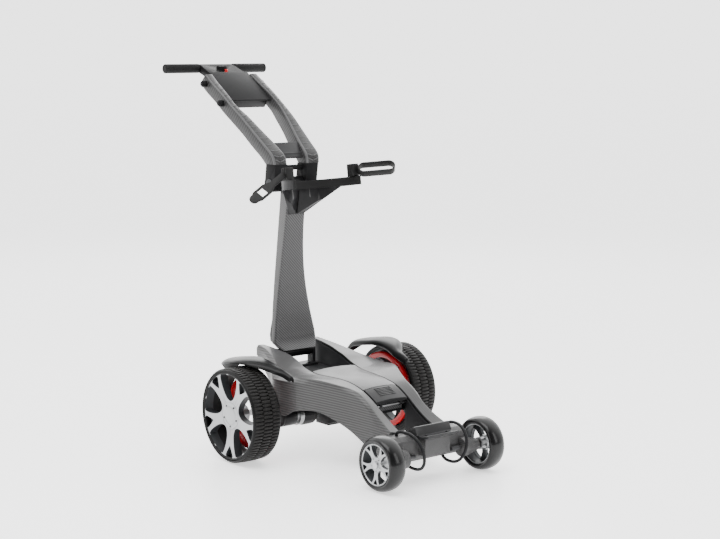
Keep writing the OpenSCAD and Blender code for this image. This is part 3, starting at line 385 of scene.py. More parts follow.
rail_table = [
    (0.00, 82, 266, 100, 267, 106, 262, 236),
    (0.06, 80, 264, 104, 263, 112, 257, 214),
    (0.12, 78, 260, 112, 257, 122, 250, 196),
    (0.18, 75, 255, 122, 249, 134, 241, 182),
    (0.23, 73, 248, 134, 240, 148, 231, 174),
    (0.27, 74, 241, 147, 232, 165, 222, 170),
    (0.32, 75, 229, 157, 225, 181, 213, 168),
    (0.40, 71, 218, 157, 222, 184, 214, 122),
    (0.48, 62, 216, 153, 224, 174, 214, 139),
    (0.56, 56, 215, 134, 223, 141, 209, 141),
    (0.64, 55, 211, 111, 216, 117, 206, 124),
    (0.73, 56, 199, 89, 205, 100, 199, 100),
    (0.80, 55, 180, 84, 187, 93, 182, 78),
    (0.87, 54, 155, 83, 160, 89, 153, 60),
    (0.94, 54, 133, 86, 139, 92, 132, 50),
    (1.00, 56, 118, 90, 124, 98, 117, 48),
]
deck_rear, deck_front = -150.0, 399.0


def rail_at(x, k):
    return through((x - deck_rear) / (deck_front - deck_rear), rail_table, k)


def rail_ring(x):
    yi, zi, yc, zc, yo, zo, zl = (rail_at(x, k) for k in range(1, 8))
    return [
        (x, yo, zl), (x, yo, (zl + zo) / 2), (x, yo, zo - 4), (x, yo - 0.5, zo - 2),
        (x, yo - 1.5, zo), (x, yc + 1, zc), (x, yc - 3, zc + 0.5),
        (x, (yi + yc) / 2, (zi + zc) / 2 + 0.4), (x, yi + 2, zi), (x, yi, zi - 2),
        (x, yi, zi - 18), (x, yi + 4, zi - 18), (x, yi + 4, zi - 4), (x, yc - 4, zc - 4),
        (x, yo - 5, zo - 4), (x, yo - 4, zl),
    ]


rails = bmesh.new()
end_gap, rail_steps = 0.5, 110
rail_length = deck_front - deck_rear - 2 * end_gap
stations = [deck_rear + end_gap + rail_length * i / rail_steps for i in range(rail_steps + 1)]
skin = skin_rings(rails, [rail_ring(x) for x in stations])
for n, face in enumerate(skin):
    face.material_index = (0, 0, 0, 0, 0, 1, 1, 1, 2, 2, 2, 2, 2, 2, 2, 2)[n % 16]
plug_middle = Vector((0, 94, 252))
plug = []
for into, inset in ((5, 0.03), (0.5, 0.03), (-3.4, 0.09), (-6.2, 0.2), (-7.6, 0.36), (-8, 0.6)):
    full = [Vector(p) for p in rail_ring(deck_rear)[:11]]
    plug.append([
        (deck_rear + into, p.y + (plug_middle.y - p.y) * inset, p.z + (plug_middle.z - p.z) * inset)
        for p in full
    ])
skin_rings(rails, plug)
mirrored(rails)
piece("rails", rails, [rail_side, rail_top, rail_black], "chassis", ["chassis_shell"],
      sharp=60, rounded=1.4)

# ---- Tray ----
# The dark trough between the rails, with the mast's well, the battery bay and the side liners.
tray_black = grained("tray_black", (0.014, 0.014, 0.015), 0.55, scale=700.0, depth=0.0001)


def dressed(name, node, width, material, body, segments=2, angle=28.0, sharp=40.0):
    # a CAD node's own shape with rounded edges and a finish
    shape = cad_copy(node)
    soften(shape, width, segments, angle)
    piece(name, shape, [material], body, [node], sharp)


dressed("tray", "chassis_tray", 0.9, tray_black, "chassis")

# ---- Front crossbar ----
# The bar between the rails' front ends, its round axle bosses and the block under the bag rest.
bar_weave = weave("bar_weave", (0.035, 0.035, 0.035), (0.098, 0.097, 0.098), (0, 1, 0.1), 0.0036,
                  0.0003, (0, 1, 0.3))
dressed("crossbar", "front_crossbar", 2.4, bar_weave, "chassis", 3, 20, 50)

axle_steel = grained("axle_steel", (0.45, 0.455, 0.46), 0.32, 1.0, scale=500.0)
axle_painted_shade = grained("axle_painted_shade", (0.05, 0.05, 0.052), 0.4, 0.6, scale=500.0)
front_axles = cad_copy("front_axles")
soften(front_axles, 0.7)
# The axle's middle, under the crossbar between the front wheels, is coloured dark as painted shade;
# its ends outside axle_end_y, seen through the rims, stay bright steel.
axle_end_y = 0.17
for face in front_axles.faces:
    face.material_index = 1 if abs(face.calc_center_median().y) > axle_end_y else 0
piece("axle_pair", front_axles, [axle_painted_shade, axle_steel], "chassis", ["front_axles"])

# ---- Bag rest ----
# A black scoop on the crossbar with side gussets, a thick front lip and two fixing screws.
rest_black = grained("rest_black", (0.016, 0.016, 0.017), 0.42, coat=0.2, scale=650.0, depth=0.0001)
dressed("bag_scoop", "bag_rest", 2.0, rest_black, "chassis", 3)
screw_dark = grained("screw_dark", (0.05, 0.05, 0.052), 0.35, 0.8)
on_axis = 0.0001  # a radius in millimetres, so small that the points turned there merge


def turned(line, middle, turns=48):
    # points (radius, distance along y) in millimetres, turned about the y line through middle
    shape = bmesh.new()
    cx, cy, cz = middle
    made = [shape.verts.new(Vector((cx + r, cy + d, cz)) / 1000) for r, d in line]
    edges = [shape.edges.new(pair) for pair in zip(made, made[1:])]
    bmesh.ops.spin(
        shape, geom=made + edges, cent=Vector(middle) / 1000, axis=(0, 1, 0),
        angle=2 * math.pi, steps=turns, use_merge=True, use_duplicate=False,
    )
    bmesh.ops.remove_doubles(shape, verts=shape.verts[:], dist=1e-6)
    return shape


def joined(*shapes):
    # several shapes as one
    whole = bmesh.new()
    for shape in shapes:
        mesh = bpy.data.meshes.new("part")
        shape.to_mesh(mesh)
        shape.free()
        whole.from_mesh(mesh)
        bpy.data.meshes.remove(mesh)
    return whole


def moved(shape, matrix):
    bmesh.ops.transform(shape, matrix=matrix, verts=shape.verts[:])
    return shape


def screw(at, facing, radius, height=1.6):
    # a round screw head with a hexagonal socket, at a point in millimetres, facing a direction
    line = [(0, 0.35 * height), (0.46 * radius, 0.35 * height), (0.5 * radius, height),
            (0.84 * radius, height), (radius, 0.7 * height), (radius, -0.5 * height)]
    shape = turned(line, (0, 0, 0), 24)
    turn = Vector(facing).to_track_quat("Y", "Z").to_matrix().to_4x4()
    return moved(shape, Matrix.Translation(Vector(at) / 1000) @ turn)


rest_screws = joined(*(screw((467, y, 121.8), (0.12, 0, 1), 3.2) for y in (-34, 34)))
piece("rest_screws", rest_screws, [screw_dark], "chassis", [])

# ---- Mudguards ----
# Black scoops with a soft shine over the inner shoulders of the rear tyres.
# Table: x, outer y, top z from guard_z, inner y, in millimetres.
guard_gloss = grained("guard_gloss", (0.003, 0.003, 0.0033), 0.3, coat=0.1, scale=60.0,
                      depth=0.00012, shine=0.1)
guard_table = [
    (-140, 214, -32, 192), (-112, 250, -4, 188), (-80, 270, 6, 186), (-46, 276, 12, 186),
    (-10, 274, 17, 188), (24, 262, 15, 190), (54, 242, 8, 189), (82, 220, -3, 187),
    (108, 209, -10, 187), (132, 204, -20, 187),
]
guard_z = 254


def guard_ring(x):
    yo, z, yi = (through(x, guard_table, k) for k in (1, 2, 3))
    z += guard_z
    w = yo - yi
    over = [(0, -20), (0, -8), (0.12, -3), (0.3, 0), (0.62, 0), (0.86, -4)]
    under = [(0.84, -8), (0.62, -4), (0.3, -4), (0.12, -7)]
    return (
        [(x, yi + f * w, z + d) for f, d in over]
        + [(x, yo, z - 11), (x, yo - 1, z - 15)]
        + [(x, yi + f * w, z + d) for f, d in under]
        + [(x, yi + min(4, 0.1 * w + 1), z - 20)]
    )


def flipped(shape, side):
    # the shape, on the trolley's other side where side is -1
    if side < 0:
        for v in shape.verts:
            v.co.y = -v.co.y
    return shape


guard_rear, guard_length, guard_steps = -139.5, 271, 30
for side, name in ((1, "fender_left"), (-1, "fender_right")):
    guard = bmesh.new()
    skin_rings(guard, [
        guard_ring(guard_rear + guard_length * i / guard_steps) for i in range(guard_steps + 1)
    ])
    made = piece("guard_" + name, flipped(guard, side), [guard_gloss], "chassis", [name],
                 sharp=181)
    smooth = made.modifiers.new("smooth", "SUBSURF")
    smooth.levels = smooth.render_levels = 2

# ---- Mast bracket and its pin ----
# Two round ears in the well behind the deck, and the steel pin that the mast folds on.
bracket_black = grained("bracket_black", (0.02, 0.02, 0.021), 0.4, coat=0.1)
dressed("fold_bracket", "mast_bracket", 1.2, bracket_black, "chassis")
pin_steel = grained("pin_steel", (0.3, 0.3, 0.305), 0.3, 1.0, scale=500.0)
dressed("fold_pin", "mast_pin", 1.0, pin_steel, "chassis")

# ---- Battery, its bay and the control box ----
# A woven battery case whose front end shows below the latch, and a dark box under the floor.
battery_case = weave("battery_case", (0.043, 0.043, 0.045), (0.173, 0.173, 0.174), (0, 1, 0.9),
                     0.0052, 0.0003, (0, 1, -0.9), 0.4, 0.1)
dressed("battery", "battery_pack", 3.0, battery_case, "chassis", 3)
control_black = grained("control_black", (0.009, 0.009, 0.0095), 0.5)
dressed("control_box", "controller_box", 2.0, control_black, "chassis")
piece("control_screws",
      joined(*(screw((x, y, 84.2), (0, 0, -1), 2.6) for x in (23, 90) for y in (-45, 45))),
      [screw_dark], "chassis", [])

# ---- Battery lid and latch ----
# A crowned light grey lid, and a ribbed black latch flap in front of it.
lid_weave = weave("lid_weave", (0.0714, 0.0714, 0.0718), (0.1134, 0.113, 0.1134), (1, 0.6, 0),
                  0.0036, 0.0001, (1, -0.6, 0), 0.36, 0.2)
lid_x0, lid_x1 = 55.0, 246.0


def lid_ring(x, drop=6.0, narrow=1.2, lift=0.0, crown=(1.0, 3.0, 3.5)):
    w = rail_at(x, 1) - narrow
    z = rail_at(x, 2) + 1 + lift
    return [
        (x, w, z - drop), (x, w, z - 1.5), (x, w - 0.6, z - 0.7), (x, w * 0.8, z + crown[0]),
        (x, w * 0.4, z + crown[1]), (x, 0, z + crown[2]), (x, -w * 0.4, z + crown[1]),
        (x, -w * 0.8, z + crown[0]), (x, 0.6 - w, z - 0.7), (x, -w, z - 1.5), (x, -w, z - drop),
    ]


lid_steps, latch_steps = 40, 12
lid = bmesh.new()
skin_rings(lid, [
    lid_ring(lid_x0 + (lid_x1 - lid_x0) * i / lid_steps) for i in range(lid_steps + 1)
])
knuckle = cad_copy("battery_lid")
knuckle_end = 0.0585
plate_verts = [v for v in knuckle.verts if v.co.x > knuckle_end]
bmesh.ops.delete(knuckle, geom=plate_verts, context="VERTS")
piece("lid", joined(lid, knuckle), [lid_weave], "battery_lid", ["battery_lid"],
      rounded=0.8)

latch_black = grained("latch_black", (0.01, 0.01, 0.0105), 0.38, coat=0.2)
latch_x0, latch_length = 247.5, 48
latch = bmesh.new()
skin_rings(latch, [
    lid_ring(latch_x0 + latch_length * i / latch_steps, 7.0, 3.6, -0.2, (0.8, 2.4, 3.0))
    for i in range(latch_steps + 1)
])
leg_top = 0.1745
legs = cad_copy("lid_latch")
bmesh.ops.bisect_plane(
    legs, geom=legs.verts[:] + legs.edges[:] + legs.faces[:], dist=1e-6,
    plane_co=(0, 0, leg_top), plane_no=(0, 0, 1), clear_outer=True,
)
soften(legs, 0.6)


def bar_of(size, rounding, segments, at, turn):
    # a bar with rounded edges, size, rounding and place in millimetres
    shape = bmesh.new()
    bmesh.ops.create_cube(shape, size=0.001)
    bmesh.ops.scale(shape, vec=size, verts=shape.verts[:])
    soften(shape, rounding, segments, 60)
    return moved(shape, Matrix.Translation(Vector(at) / 1000) @ turn)


rib_count, rib_x0, rib_gap = 6, 254, 5.2
latch_ribs = []
for k in range(rib_count):
    x = rib_x0 + rib_gap * k
    slope = math.atan((rail_at(x + 2, 2) - rail_at(x - 2, 2)) / 4)
    latch_ribs.append(bar_of((2.2, 52, 2.2), 0.7, 2, (x, 0, rail_at(x, 2) + 3.4),
                             Matrix.Rotation(-slope, 4, "Y")))
piece("latch", joined(latch, legs, *latch_ribs), [latch_black], "lid_latch", ["lid_latch"],
      rounded=0.7)
dressed("lid_pins", "lid_pin", 0.5, pin_steel, "chassis")

# ---- Gearboxes and motors ----
# Two joined round housings each side with screwed covers, and a ribbed motor with a bright band.
gear_black = grained("gear_black", (0.007, 0.007, 0.0075), 0.38, coat=0.15)
band_metal = grained("band_metal", (0.42, 0.425, 0.43), 0.3, 1.0, scale=400.0)
motor_middle = (42.381, 0, 109.575)
fin_count, fin_r, fin_y = 14, 29.3, 90


def painted(shape, index):
    # every face of the shape given one of its piece's materials
    for face in shape.faces:
        face.material_index = index
    return shape


for side, name in ((1, "left"), (-1, "right")):
    dressed("drive_case_" + name, "gearbox_" + name, 1.2, gear_black, "chassis")
    can = turned(
        [(on_axis, 64), (19, 64), (24, 65.5), (27, 68), (29.4, 72), (29.4, 106), (28.6, 109),
         (28, 110), (on_axis, 110), (on_axis, 64)],
        motor_middle, 56,
    )
    fins = []
    for k in range(fin_count):
        around = Matrix.Rotation(2 * math.pi * k / fin_count, 4, "Y")
        outward = Matrix.Translation(Vector((fin_r, 0, 0)) / 1000)
        fins.append(bar_of((1.6, 30, 1.4), 0.4, 1, Vector(motor_middle) + Vector((0, fin_y, 0)),
                           around @ outward))
    band = turned(
        [(4.1, 110), (28, 110), (28, 122), (18.6, 122), (18.6, 130), (4.1, 130), (4.1, 110)],
        motor_middle, 56,
    )
    motor = flipped(joined(can, *fins, painted(band, 1)), side)
    piece("drive_motor_" + name, motor, [gear_black, band_metal], "chassis", ["motor_" + name],
          rounded=0.5)

dressed("drive_covers", "gearbox_covers", 1.2, gear_black, "chassis")
dressed("axle_bearings", "rear_bearings", 0.8, axle_steel, "chassis")
dressed("screw_heads", "chassis_screws", 0.6, screw_dark, "chassis")
for name in ("left", "right"):
    for node, body, rounding in (
        ("rear_axle_", "rear_wheel_", 0.8), ("wheel_gear_", "rear_wheel_", 0),
        ("pinion_", "pinion_", 0),
    ):
        rod = cad_copy(node + name)
        if rounding:
            soften(rod, rounding)
        piece("turned_" + node + name, rod, [axle_steel], body + name, [node + name],
              sharp=30)

# ---- Rear tyres ----
# Wide black tyres with three staggered bands of cross ribs and a smooth shoulder line each side.
tread_black = grained("tread_black", (0.0098, 0.0091, 0.0087), 0.5, coat=0.05, scale=500.0,
                      depth=0.00012)
wall_black = grained("wall_black", (0.0036, 0.0036, 0.0037), 0.42, scale=500.0, depth=0.0001)
rear_middle = (0, 0, 125)
ribs_round, rib_width, root_r, crown_r = 80, 6.6, 120.4, 124.8
inner_drop = 0.0016


def rib(width, length, low_r, high_r, drop):
    # one rib of the tread at the top of the tyre, its outer end dropped at the shoulder;
    # shaped and rounded in millimetres, then brought to metres
    shape = bmesh.new()
    bmesh.ops.create_cube(shape, size=1.0)
    for v in shape.verts:
        v.co.x *= width * (0.94 if v.co.z > 0 else 1.12)
        v.co.z = low_r if v.co.z < 0 else high_r - (drop if v.co.y > 0 else 0.0)
        v.co.y *= length
    soften(shape, 700.0, 1, 60)
    return moved(shape, Matrix.Scale(0.001, 4))


for side, name in ((1, "left"), (-1, "right")):
    casing = turned(
        [(113, 303.2), (113, 225), (115, 223.6), (118, 223.2), (120, 224.6), (121.4, 227),
         (121.9, 229.5), (121.9, 250.6), (121.3, 251.2), (121.3, 252.2), (121.9, 252.8),
         (121.9, 278.2), (121.3, 278.8), (121.3, 279.8), (121.9, 280.4), (121.9, 301.5),
         (121.4, 304), (120, 306.4), (118, 307.8), (116.4, 307.6), (115.8, 306), (115.6, 303.6),
         (113, 303.2)],
        rear_middle, 96,
    )
    tread = bmesh.new()
    bands = ((228.2, 251.2, 0), (252.4, 278.6, 0), (279.8, 303.2, 1.6))
    for band, (y0, y1, drop) in enumerate(bands):
        block = rib(rib_width, y1 - y0, root_r, crown_r, drop)
        if band == 0:
            # the inner band's inner end is dropped at the shoulder too
            for v in block.verts:
                if v.co.y < -0.010 and v.co.z > 0.123:
                    v.co.z -= inner_drop
        sample = bpy.data.meshes.new("rib")
        block.to_mesh(sample)
        block.free()
        for k in range(ribs_round):
            before = len(tread.verts)
            tread.from_mesh(sample)
            tread.verts.ensure_lookup_table()
            turn = Matrix.Rotation(2 * math.pi * (k + 0.5 * (band == 1)) / ribs_round, 4, "Y")
            place = Matrix.Translation((0, (y0 + y1) / 2000, 0.125)) @ turn
            bmesh.ops.transform(tread, matrix=place, verts=tread.verts[before:])
        bpy.data.meshes.remove(sample)
    piece("tyre_rear_" + name, flipped(joined(painted(casing, 1), tread), side),
          [tread_black, wall_black], "rear_wheel_" + name, ["rear_tyre_" + name],
          sharp=50)

# ---- Rear rims ----
# Silver five-spoke rims, open between the spokes, each spoke forking round a dark recess,
# with a flat hub disc and a ring of five small dark screws.
rim_silver = grained("rim_silver", (0.358, 0.365, 0.371), 0.3, 0.55, 0.3, scale=700.0,
                     depth=0.00005)
pocket_grey = grained("pocket_grey", (0.036, 0.0384, 0.0408), 0.42, 0.2, scale=400.0, depth=0.0001)


def cut_away(shape, cutters):
    # the shape with the cutters taken out of it
    mesh = bpy.data.meshes.new("blank")
    shape.to_mesh(mesh)
    shape.free()
    blank = bpy.data.objects.new("blank", mesh)
    bpy.context.scene.collection.objects.link(blank)
    tools = []
    for cutter in cutters:
        tool_mesh = bpy.data.meshes.new("tool")
        cutter.to_mesh(tool_mesh)
        cutter.free()
        tool = bpy.data.objects.new("tool", tool_mesh)
        bpy.context.scene.collection.objects.link(tool)
        cut = blank.modifiers.new("cut", "BOOLEAN")
        cut.operation = "DIFFERENCE"
        cut.solver = "EXACT"
        cut.object = tool
        tools.append(tool)
    bpy.context.view_layer.update()
    made = bpy.data.meshes.new_from_object(
        blank.evaluated_get(bpy.context.evaluated_depsgraph_get())
    )
    out = bmesh.new()
    out.from_mesh(made)
    for spare in [blank, *tools]:
        spare_mesh = spare.data
        bpy.data.objects.remove(spare)
        bpy.data.meshes.remove(spare_mesh)
    bpy.data.meshes.remove(made)
    return out


def prism(outline, y0, y1, taper):
    # an outline of (x, z) points carried along y, in millimetres, smaller or larger at y0
    shape = bmesh.new()
    cx = sum(p[0] for p in outline) / len(outline)
    cz = sum(p[1] for p in outline) / len(outline)
    back = [shape.verts.new(Vector((cx + (x - cx) * taper, y0, cz + (z - cz) * taper)) / 1000)
            for x, z in outline]
    front = [shape.verts.new(Vector((x, y1, z)) / 1000) for x, z in outline]
    for i in range(len(outline)):
        j = (i + 1) % len(outline)
        shape.faces.new((back[i], back[j], front[j], front[i]))
    shape.faces.new(back)
    shape.faces.new(front[::-1])
    bmesh.ops.recalc_face_normals(shape, faces=shape.faces[:])
    return shape


spokes = 5
first_window = math.radians(-18)
window = [(38.5, 0), (39.4, 5), (42, 10.5), (47, 16.5), (54, 22), (62, 26.4), (72, 31), (82, 34.6),
          (92, 37), (99, 37.4), (103, 36)]
window += [(108.6 * math.cos(t), 108.6 * math.sin(t)) for t in (0.29, 0.22, 0.15, 0.08)]
fork = [(79, 0), (82, 2.6), (88, 6.8), (95, 11.2), (101, 14.6), (105, 16.4)]
fork += [(109.4 * math.cos(t), 109.4 * math.sin(t)) for t in (0.13, 0.07)]


def spoked(profile, middle, size, window_y, fork_y):
    # a turned rim with its windows, the first one at the top, and a recess in each spoke's fork,
    # cut from y window_y and fork_y outwards; the outlines are brought to the rim's size
    cutters = []
    for k in range(spokes):
        angle = first_window + 2 * math.pi * k / spokes
        for half, (y0, y1), spin in (
            (window, window_y, angle), (fork, fork_y, angle + math.pi / spokes),
        ):
            outline = half + [(half[-1][0] + 0.2, 0)] + [(r, -h) for r, h in half[:0:-1]]
            tool = prism([(r * size, h * size) for r, h in outline], y0, y1, 0.97)
            place = Matrix.Translation(Vector(middle) / 1000) @ Matrix.Rotation(spin, 4, "Y")
            cutters.append(moved(tool, place))
    blank = turned(profile, middle, 96)
    bmesh.ops.recalc_face_normals(blank, faces=blank.faces[:])
    return cut_away(blank, cutters)


def darken(shape, middle, face_y, hub_r, rim_r, lip_r):
    # dark where a face lies behind the front of the rim, and on the lip outside lip_r;
    # face_y: the front's y at a radius, its rise outwards and the run of that rise
    y, start, rise, run = face_y
    for face in shape.faces:
        at = face.calc_center_median() * 1000
        r = math.hypot(at.x - middle[0], at.z - middle[2])
        behind = at.y < y + rise * max(0.0, r - start) / run - 1.1
        face.material_index = 3 if r > lip_r else 1 if behind and hub_r < r < rim_r else 0


def bolt_ring(middle, ring_r, y, radius, height):
    # small screws round the hub, one on each spoke
    bolts = []
    for k in range(spokes):
        a = first_window + 2 * math.pi * (k + 0.5) / spokes
        at = (middle[0] + ring_r * math.cos(a), y, middle[2] - ring_r * math.sin(a))
        bolts.append(screw(at, (0, 1, 0), radius, height))
    return painted(joined(*bolts), 2)


for side, name in ((1, "left"), (-1, "right")):
    profile = [
        (8.6, 254), (24, 254), (30, 284), (60, 280), (109.6, 280), (109.6, 227.2), (112.8, 227.2),
        (112.8, 303.4), (115.4, 303.8), (115.4, 306), (114.4, 306.8), (112, 306.6), (110, 304.6),
        (90, 302.6), (60, 300.2), (37, 298.8), (35.4, 297.8), (34, 299.2), (25, 299.8), (24, 299),
        (22.6, 300.2), (14, 301.2), (on_axis, 301.4), (on_axis, 294), (8.6, 294), (8.6, 254),
    ]
    rim = spoked(profile, rear_middle, 1.0, (262, 320), (290, 320))
    darken(rim, rear_middle, (299.0, 37, 5.4, 68), 31, 110.5, 108.9)
    bolts = bolt_ring(rear_middle, 28.5, 299.7, 2.6, 1.2)
    piece("rim_rear_" + name, flipped(joined(rim, bolts), side),
          [rim_silver, pocket_grey, screw_dark, wall_black], "rear_wheel_" + name,
          ["rear_rim_" + name], sharp=32, rounded=0.7)

# ---- Red drive rings ----
# A glossy red ring on the inner side of each rear wheel, seen through the rim and beside the tyre.
ring_red = grained("ring_red", (0.4, 0.003, 0.007), 0.25, coat=0.3, scale=60.0, depth=0.00005)
for name in ("left", "right"):
    dressed("red_ring_" + name, "drive_ring_" + name, 1.0, ring_red, "rear_wheel_" + name,
            3)

# ---- Front wheels ----
# Rounded glossy black tyres on small silver five-spoke rims with a bright lip, and ball bearings.
front_gloss = grained("front_gloss", (0.0027, 0.0027, 0.003), 0.3, coat=0.3, scale=70.0,
                      depth=0.00015)
front_middle = (455, 0, 69)
front_tyre_y, front_seat_r = 165, 53
for side, name in ((1, "left"), (-1, "right")):
    line = [(52, 144.5), (53.4, 143.2)]
    for a in range(-78, 79, 6):
        line.append((front_seat_r + 16 * math.cos(math.radians(a)) ** 0.62,
                     front_tyre_y + 24.8 * math.sin(math.radians(a))))
    line += [(53.4, 186.8), (52, 185.5)]
    tyre = flipped(turned(line, front_middle, 88), side)
    piece("tyre_front_" + name, tyre, [front_gloss], "front_wheel_" + name, ["front_tyre_" + name],
          sharp=60)
    profile = [
        (6.1, 156), (16, 156), (16, 172), (20, 175), (49.4, 174), (49.4, 146.4), (50.6, 145.6),
        (52, 146.4), (52, 186.4), (51.6, 187.4), (50.6, 187.4), (49.6, 186.2), (40, 185.2),
        (21, 183.6), (20, 182.8), (18.8, 183.8), (10, 184.6), (on_axis, 184.8), (on_axis, 181),
        (6.1, 181), (6.1, 156),
    ]
    rim = spoked(profile, front_middle, 0.449, (166, 200), (179, 200))
    darken(rim, front_middle, (183.6, 21, 1.6, 27), 19.5, 49.5, 60)
    bolts = bolt_ring(front_middle, 15.5, 183.9, 1.5, 0.8)
    piece("rim_front_" + name, flipped(joined(rim, bolts), side),
          [rim_silver, pocket_grey, screw_dark], "front_wheel_" + name, ["front_rim_" + name],
          sharp=32, rounded=0.4)
    dressed("front_races_" + name, "front_bearings_" + name, 0.5, axle_steel,
            "front_wheel_" + name)

# ---- Mast ----
# A woven front shell with lighter side flanges, over a black spine that carries both hinges.
# Table: station, front x from the pin, half width, depth of the flanges, in millimetres.
mast_twill = weave("mast_twill", (0.026, 0.026, 0.027), (0.1, 0.099, 0.1), (0, 1, 1), 0.0058,
                   0.0003, (0, 1, -1), 0.38, 0.2)
mast_side = weave("mast_side", (0.076, 0.076, 0.076), (0.139, 0.138, 0.139), (0.4, 0, 1), 0.0046,
                  0.0002, (0.4, 0, -1), 0.38, 0.2)
mast_black = grained("mast_black", (0.007, 0.007, 0.0075), 0.42, coat=0.1)
mast_pin_x, mast_foot_z, mast_height = -125, 252, 427
mast_table = [
    (0.0, 30, 55, 14), (0.045, 11, 70, 15), (0.1, 8, 69, 16), (0.225, 1, 60, 18),
    (0.38, -3, 49, 22), (0.55, -2, 40, 26), (0.76, 6, 34, 30), (1.0, 21, 32, 34),
]


def mast_ring(s):
    # the mast's section, a channel with rounded corners that opens to the rear
    x, w, d = (through(s, mast_table, k) for k in (1, 2, 3))
    x, z = mast_pin_x + x, mast_foot_z + mast_height * s
    half = [(x - d, w), (x - 6, w), (x - 2.4, w - 1.0), (x - 0.6, w - 3.2), (x - 0.1, w - 7),
            (x + 0.3, w * 0.45)]
    inside = [(x - 4, w * 0.45), (x - 4.4, w - 8), (x - 7, w - 4.2), (x - d, w - 4)]
    return ([(px, py, z) for px, py in half] + [(px, -py, z) for px, py in half[::-1]]
            + [(px, -py, z) for px, py in inside[::-1]] + [(px, py, z) for px, py in inside])


mast = bmesh.new()
mast_faces = skin_rings(mast, [mast_ring(i / 48) for i in range(49)])
for i, face in enumerate(mast_faces):
    part = i % 20
    if part < 2 or part in (9, 10):
        face.material_index = 1
    elif part > 10:
        face.material_index = 2
bmesh.ops.recalc_face_normals(mast, faces=mast.faces[:])
mast_screw = painted(screw((-133, -50.5, 384), (0, -1, 0), 3.6, 1.2), 3)
piece("mast_front", joined(mast, mast_screw), [mast_twill, mast_side, mast_black, screw_dark],
      "mast", ["mast_shell"])
dressed("mast_back", "mast_spine", 1.2, mast_black, "mast")

# ---- Cradle ----
# A tilted half ring with a light woven rim, black beneath, and a soft pad on its inner side.
cradle_weave = weave("cradle_weave", (0.047, 0.047, 0.047), (0.084, 0.084, 0.084), (1, 0.6, 0),
                     0.0036, 0.0001, (1, -0.6, 0), 0.36, 0.2)
cradle = cad_copy("cradle")
soften(cradle, 1.6, 3)
cradle.normal_update()
socket_x, tip_y = -0.085, 0.08
for face in cradle.faces:
    at = face.calc_center_median()
    hollow = face.normal.z < -0.6 or at.x < socket_x or abs(face.normal.y) > 0.3
    tip = face.normal.x > 0.8 and abs(at.y) > tip_y
    face.material_index = 1 if hollow or tip else 0
piece("cradle_ring", cradle, [cradle_weave, mast_black], "mast", ["cradle"])
pad_rubber = grained("pad_rubber", (0.0072, 0.0072, 0.0072), 0.6, scale=700.0, depth=0.0001)
dressed("cradle_lining", "cradle_pad", 1.4, pad_rubber, "mast", 3)

# ---- Strap ----
# Ribbed blocks on the cradle's tips, a flat rubber loop on the left, a slotted tongue on the right.
strap_rubber = grained("strap_rubber", (0.01, 0.01, 0.01), 0.5, scale=600.0, depth=0.0001)
for node, name, width in (("strap_keepers", "strap_blocks", 0.7), ("strap_loop", "strap_band", 0.9),
                          ("strap_tongue", "strap_tail", 0.9)):
    dressed(name, node, width, strap_rubber, "mast")

# ---- Handle arms ----
# Two curved woven arms with chevron ribs on their front faces and lighter edges.
# Table: station, back edge x z and front edge x z from the fold pin, outer y, inner y.
arm_side = weave("arm_side", (0.017, 0.017, 0.017), (0.048, 0.047, 0.048), (-0.76, 0, 0.65), 0.009,
                 0.0003, (0.65, 0, 0.76), 0.38, 0.2)
arm_front = weave("arm_front", (0.012, 0.012, 0.012), (0.038, 0.037, 0.038), (-0.76, 0.5, 0.65),
                  0.0062, 0.0002, (0.65, 0.5, 0.76), 0.38, 0.2)
arm_edge = grained("arm_edge", (0.087, 0.087, 0.088), 0.36, coat=0.2)
handle_pin_x, handle_pin_z = -134, 707
arm_table = [
    (0.0, -15, 53, 30, 53, 76, 33), (0.12, -34, 72, 22, 78, 79, 35),
    (0.24, -69, 98, -18, 110, 82, 42), (0.36, -108, 129, -60, 142, 85, 52),
    (0.5, -150, 158, -104, 176, 88, 62),
    (0.64, -193, 187, -152, 208, 90, 72), (0.76, -230, 213, -196, 238, 90, 70.5),
    (0.88, -274, 240, -244, 267, 90, 67.5), (1.0, -306, 263, -280, 290, 88, 64),
]


def arm_spot(s, across, level):
    # a point of the left arm: across 0 at the back edge, 1 at the front; level 0 inside, 1 outside
    bx, bz, fx, fz, outer, inner = (through(s, arm_table, k) for k in range(1, 7))
    return (handle_pin_x + bx + (fx - bx) * across, inner + (outer - inner) * level,
            handle_pin_z + bz + (fz - bz) * across)


arm = bmesh.new()
section = [(0, 0.9), (0.03, 0.97), (0.1, 1), (0.9, 1), (0.97, 0.97), (1, 0.88), (1, 0.12),
           (0.97, 0.03), (0.9, 0), (0.1, 0), (0.03, 0.03), (0, 0.1)]
arm_faces = skin_rings(arm, [[arm_spot(i / 40, a, b) for a, b in section] for i in range(41)])
for i, face in enumerate(arm_faces):
    part = i % 12
    if part in (5, 11):
        face.material_index = 1
    elif part in (3, 4, 6, 7):
        face.material_index = 2
chevron_count, chevron_first, chevron_gap, chevron_lean = 15, 0.05, 0.058, 0.352
chevrons = []
for k in range(chevron_count):
    s = chevron_first + chevron_gap * k
    wide = (arm_spot(s, 1, 1)[1] - arm_spot(s, 1, 0)[1]) * 0.36
    for level, lean in ((0.31, chevron_lean), (0.69, -chevron_lean)):
        x, y, z = arm_spot(s, 1.0, level)
        x1, y1, z1 = arm_spot(s + 0.02, 1.0, level)
        turn = Matrix.Rotation(math.atan2(z - z1, x1 - x), 4, "Y") @ Matrix.Rotation(lean, 4, "Z")
        chevrons.append(painted(bar_of((2.2, wide, 1.8), 0.5, 1, (x, y, z), turn), 2))
arm = joined(arm, *chevrons)
bmesh.ops.recalc_face_normals(arm, faces=arm.faces[:])
mirrored(arm)
piece("arms", arm, [arm_side, arm_front, arm_edge], "handle", ["handle_arms"])

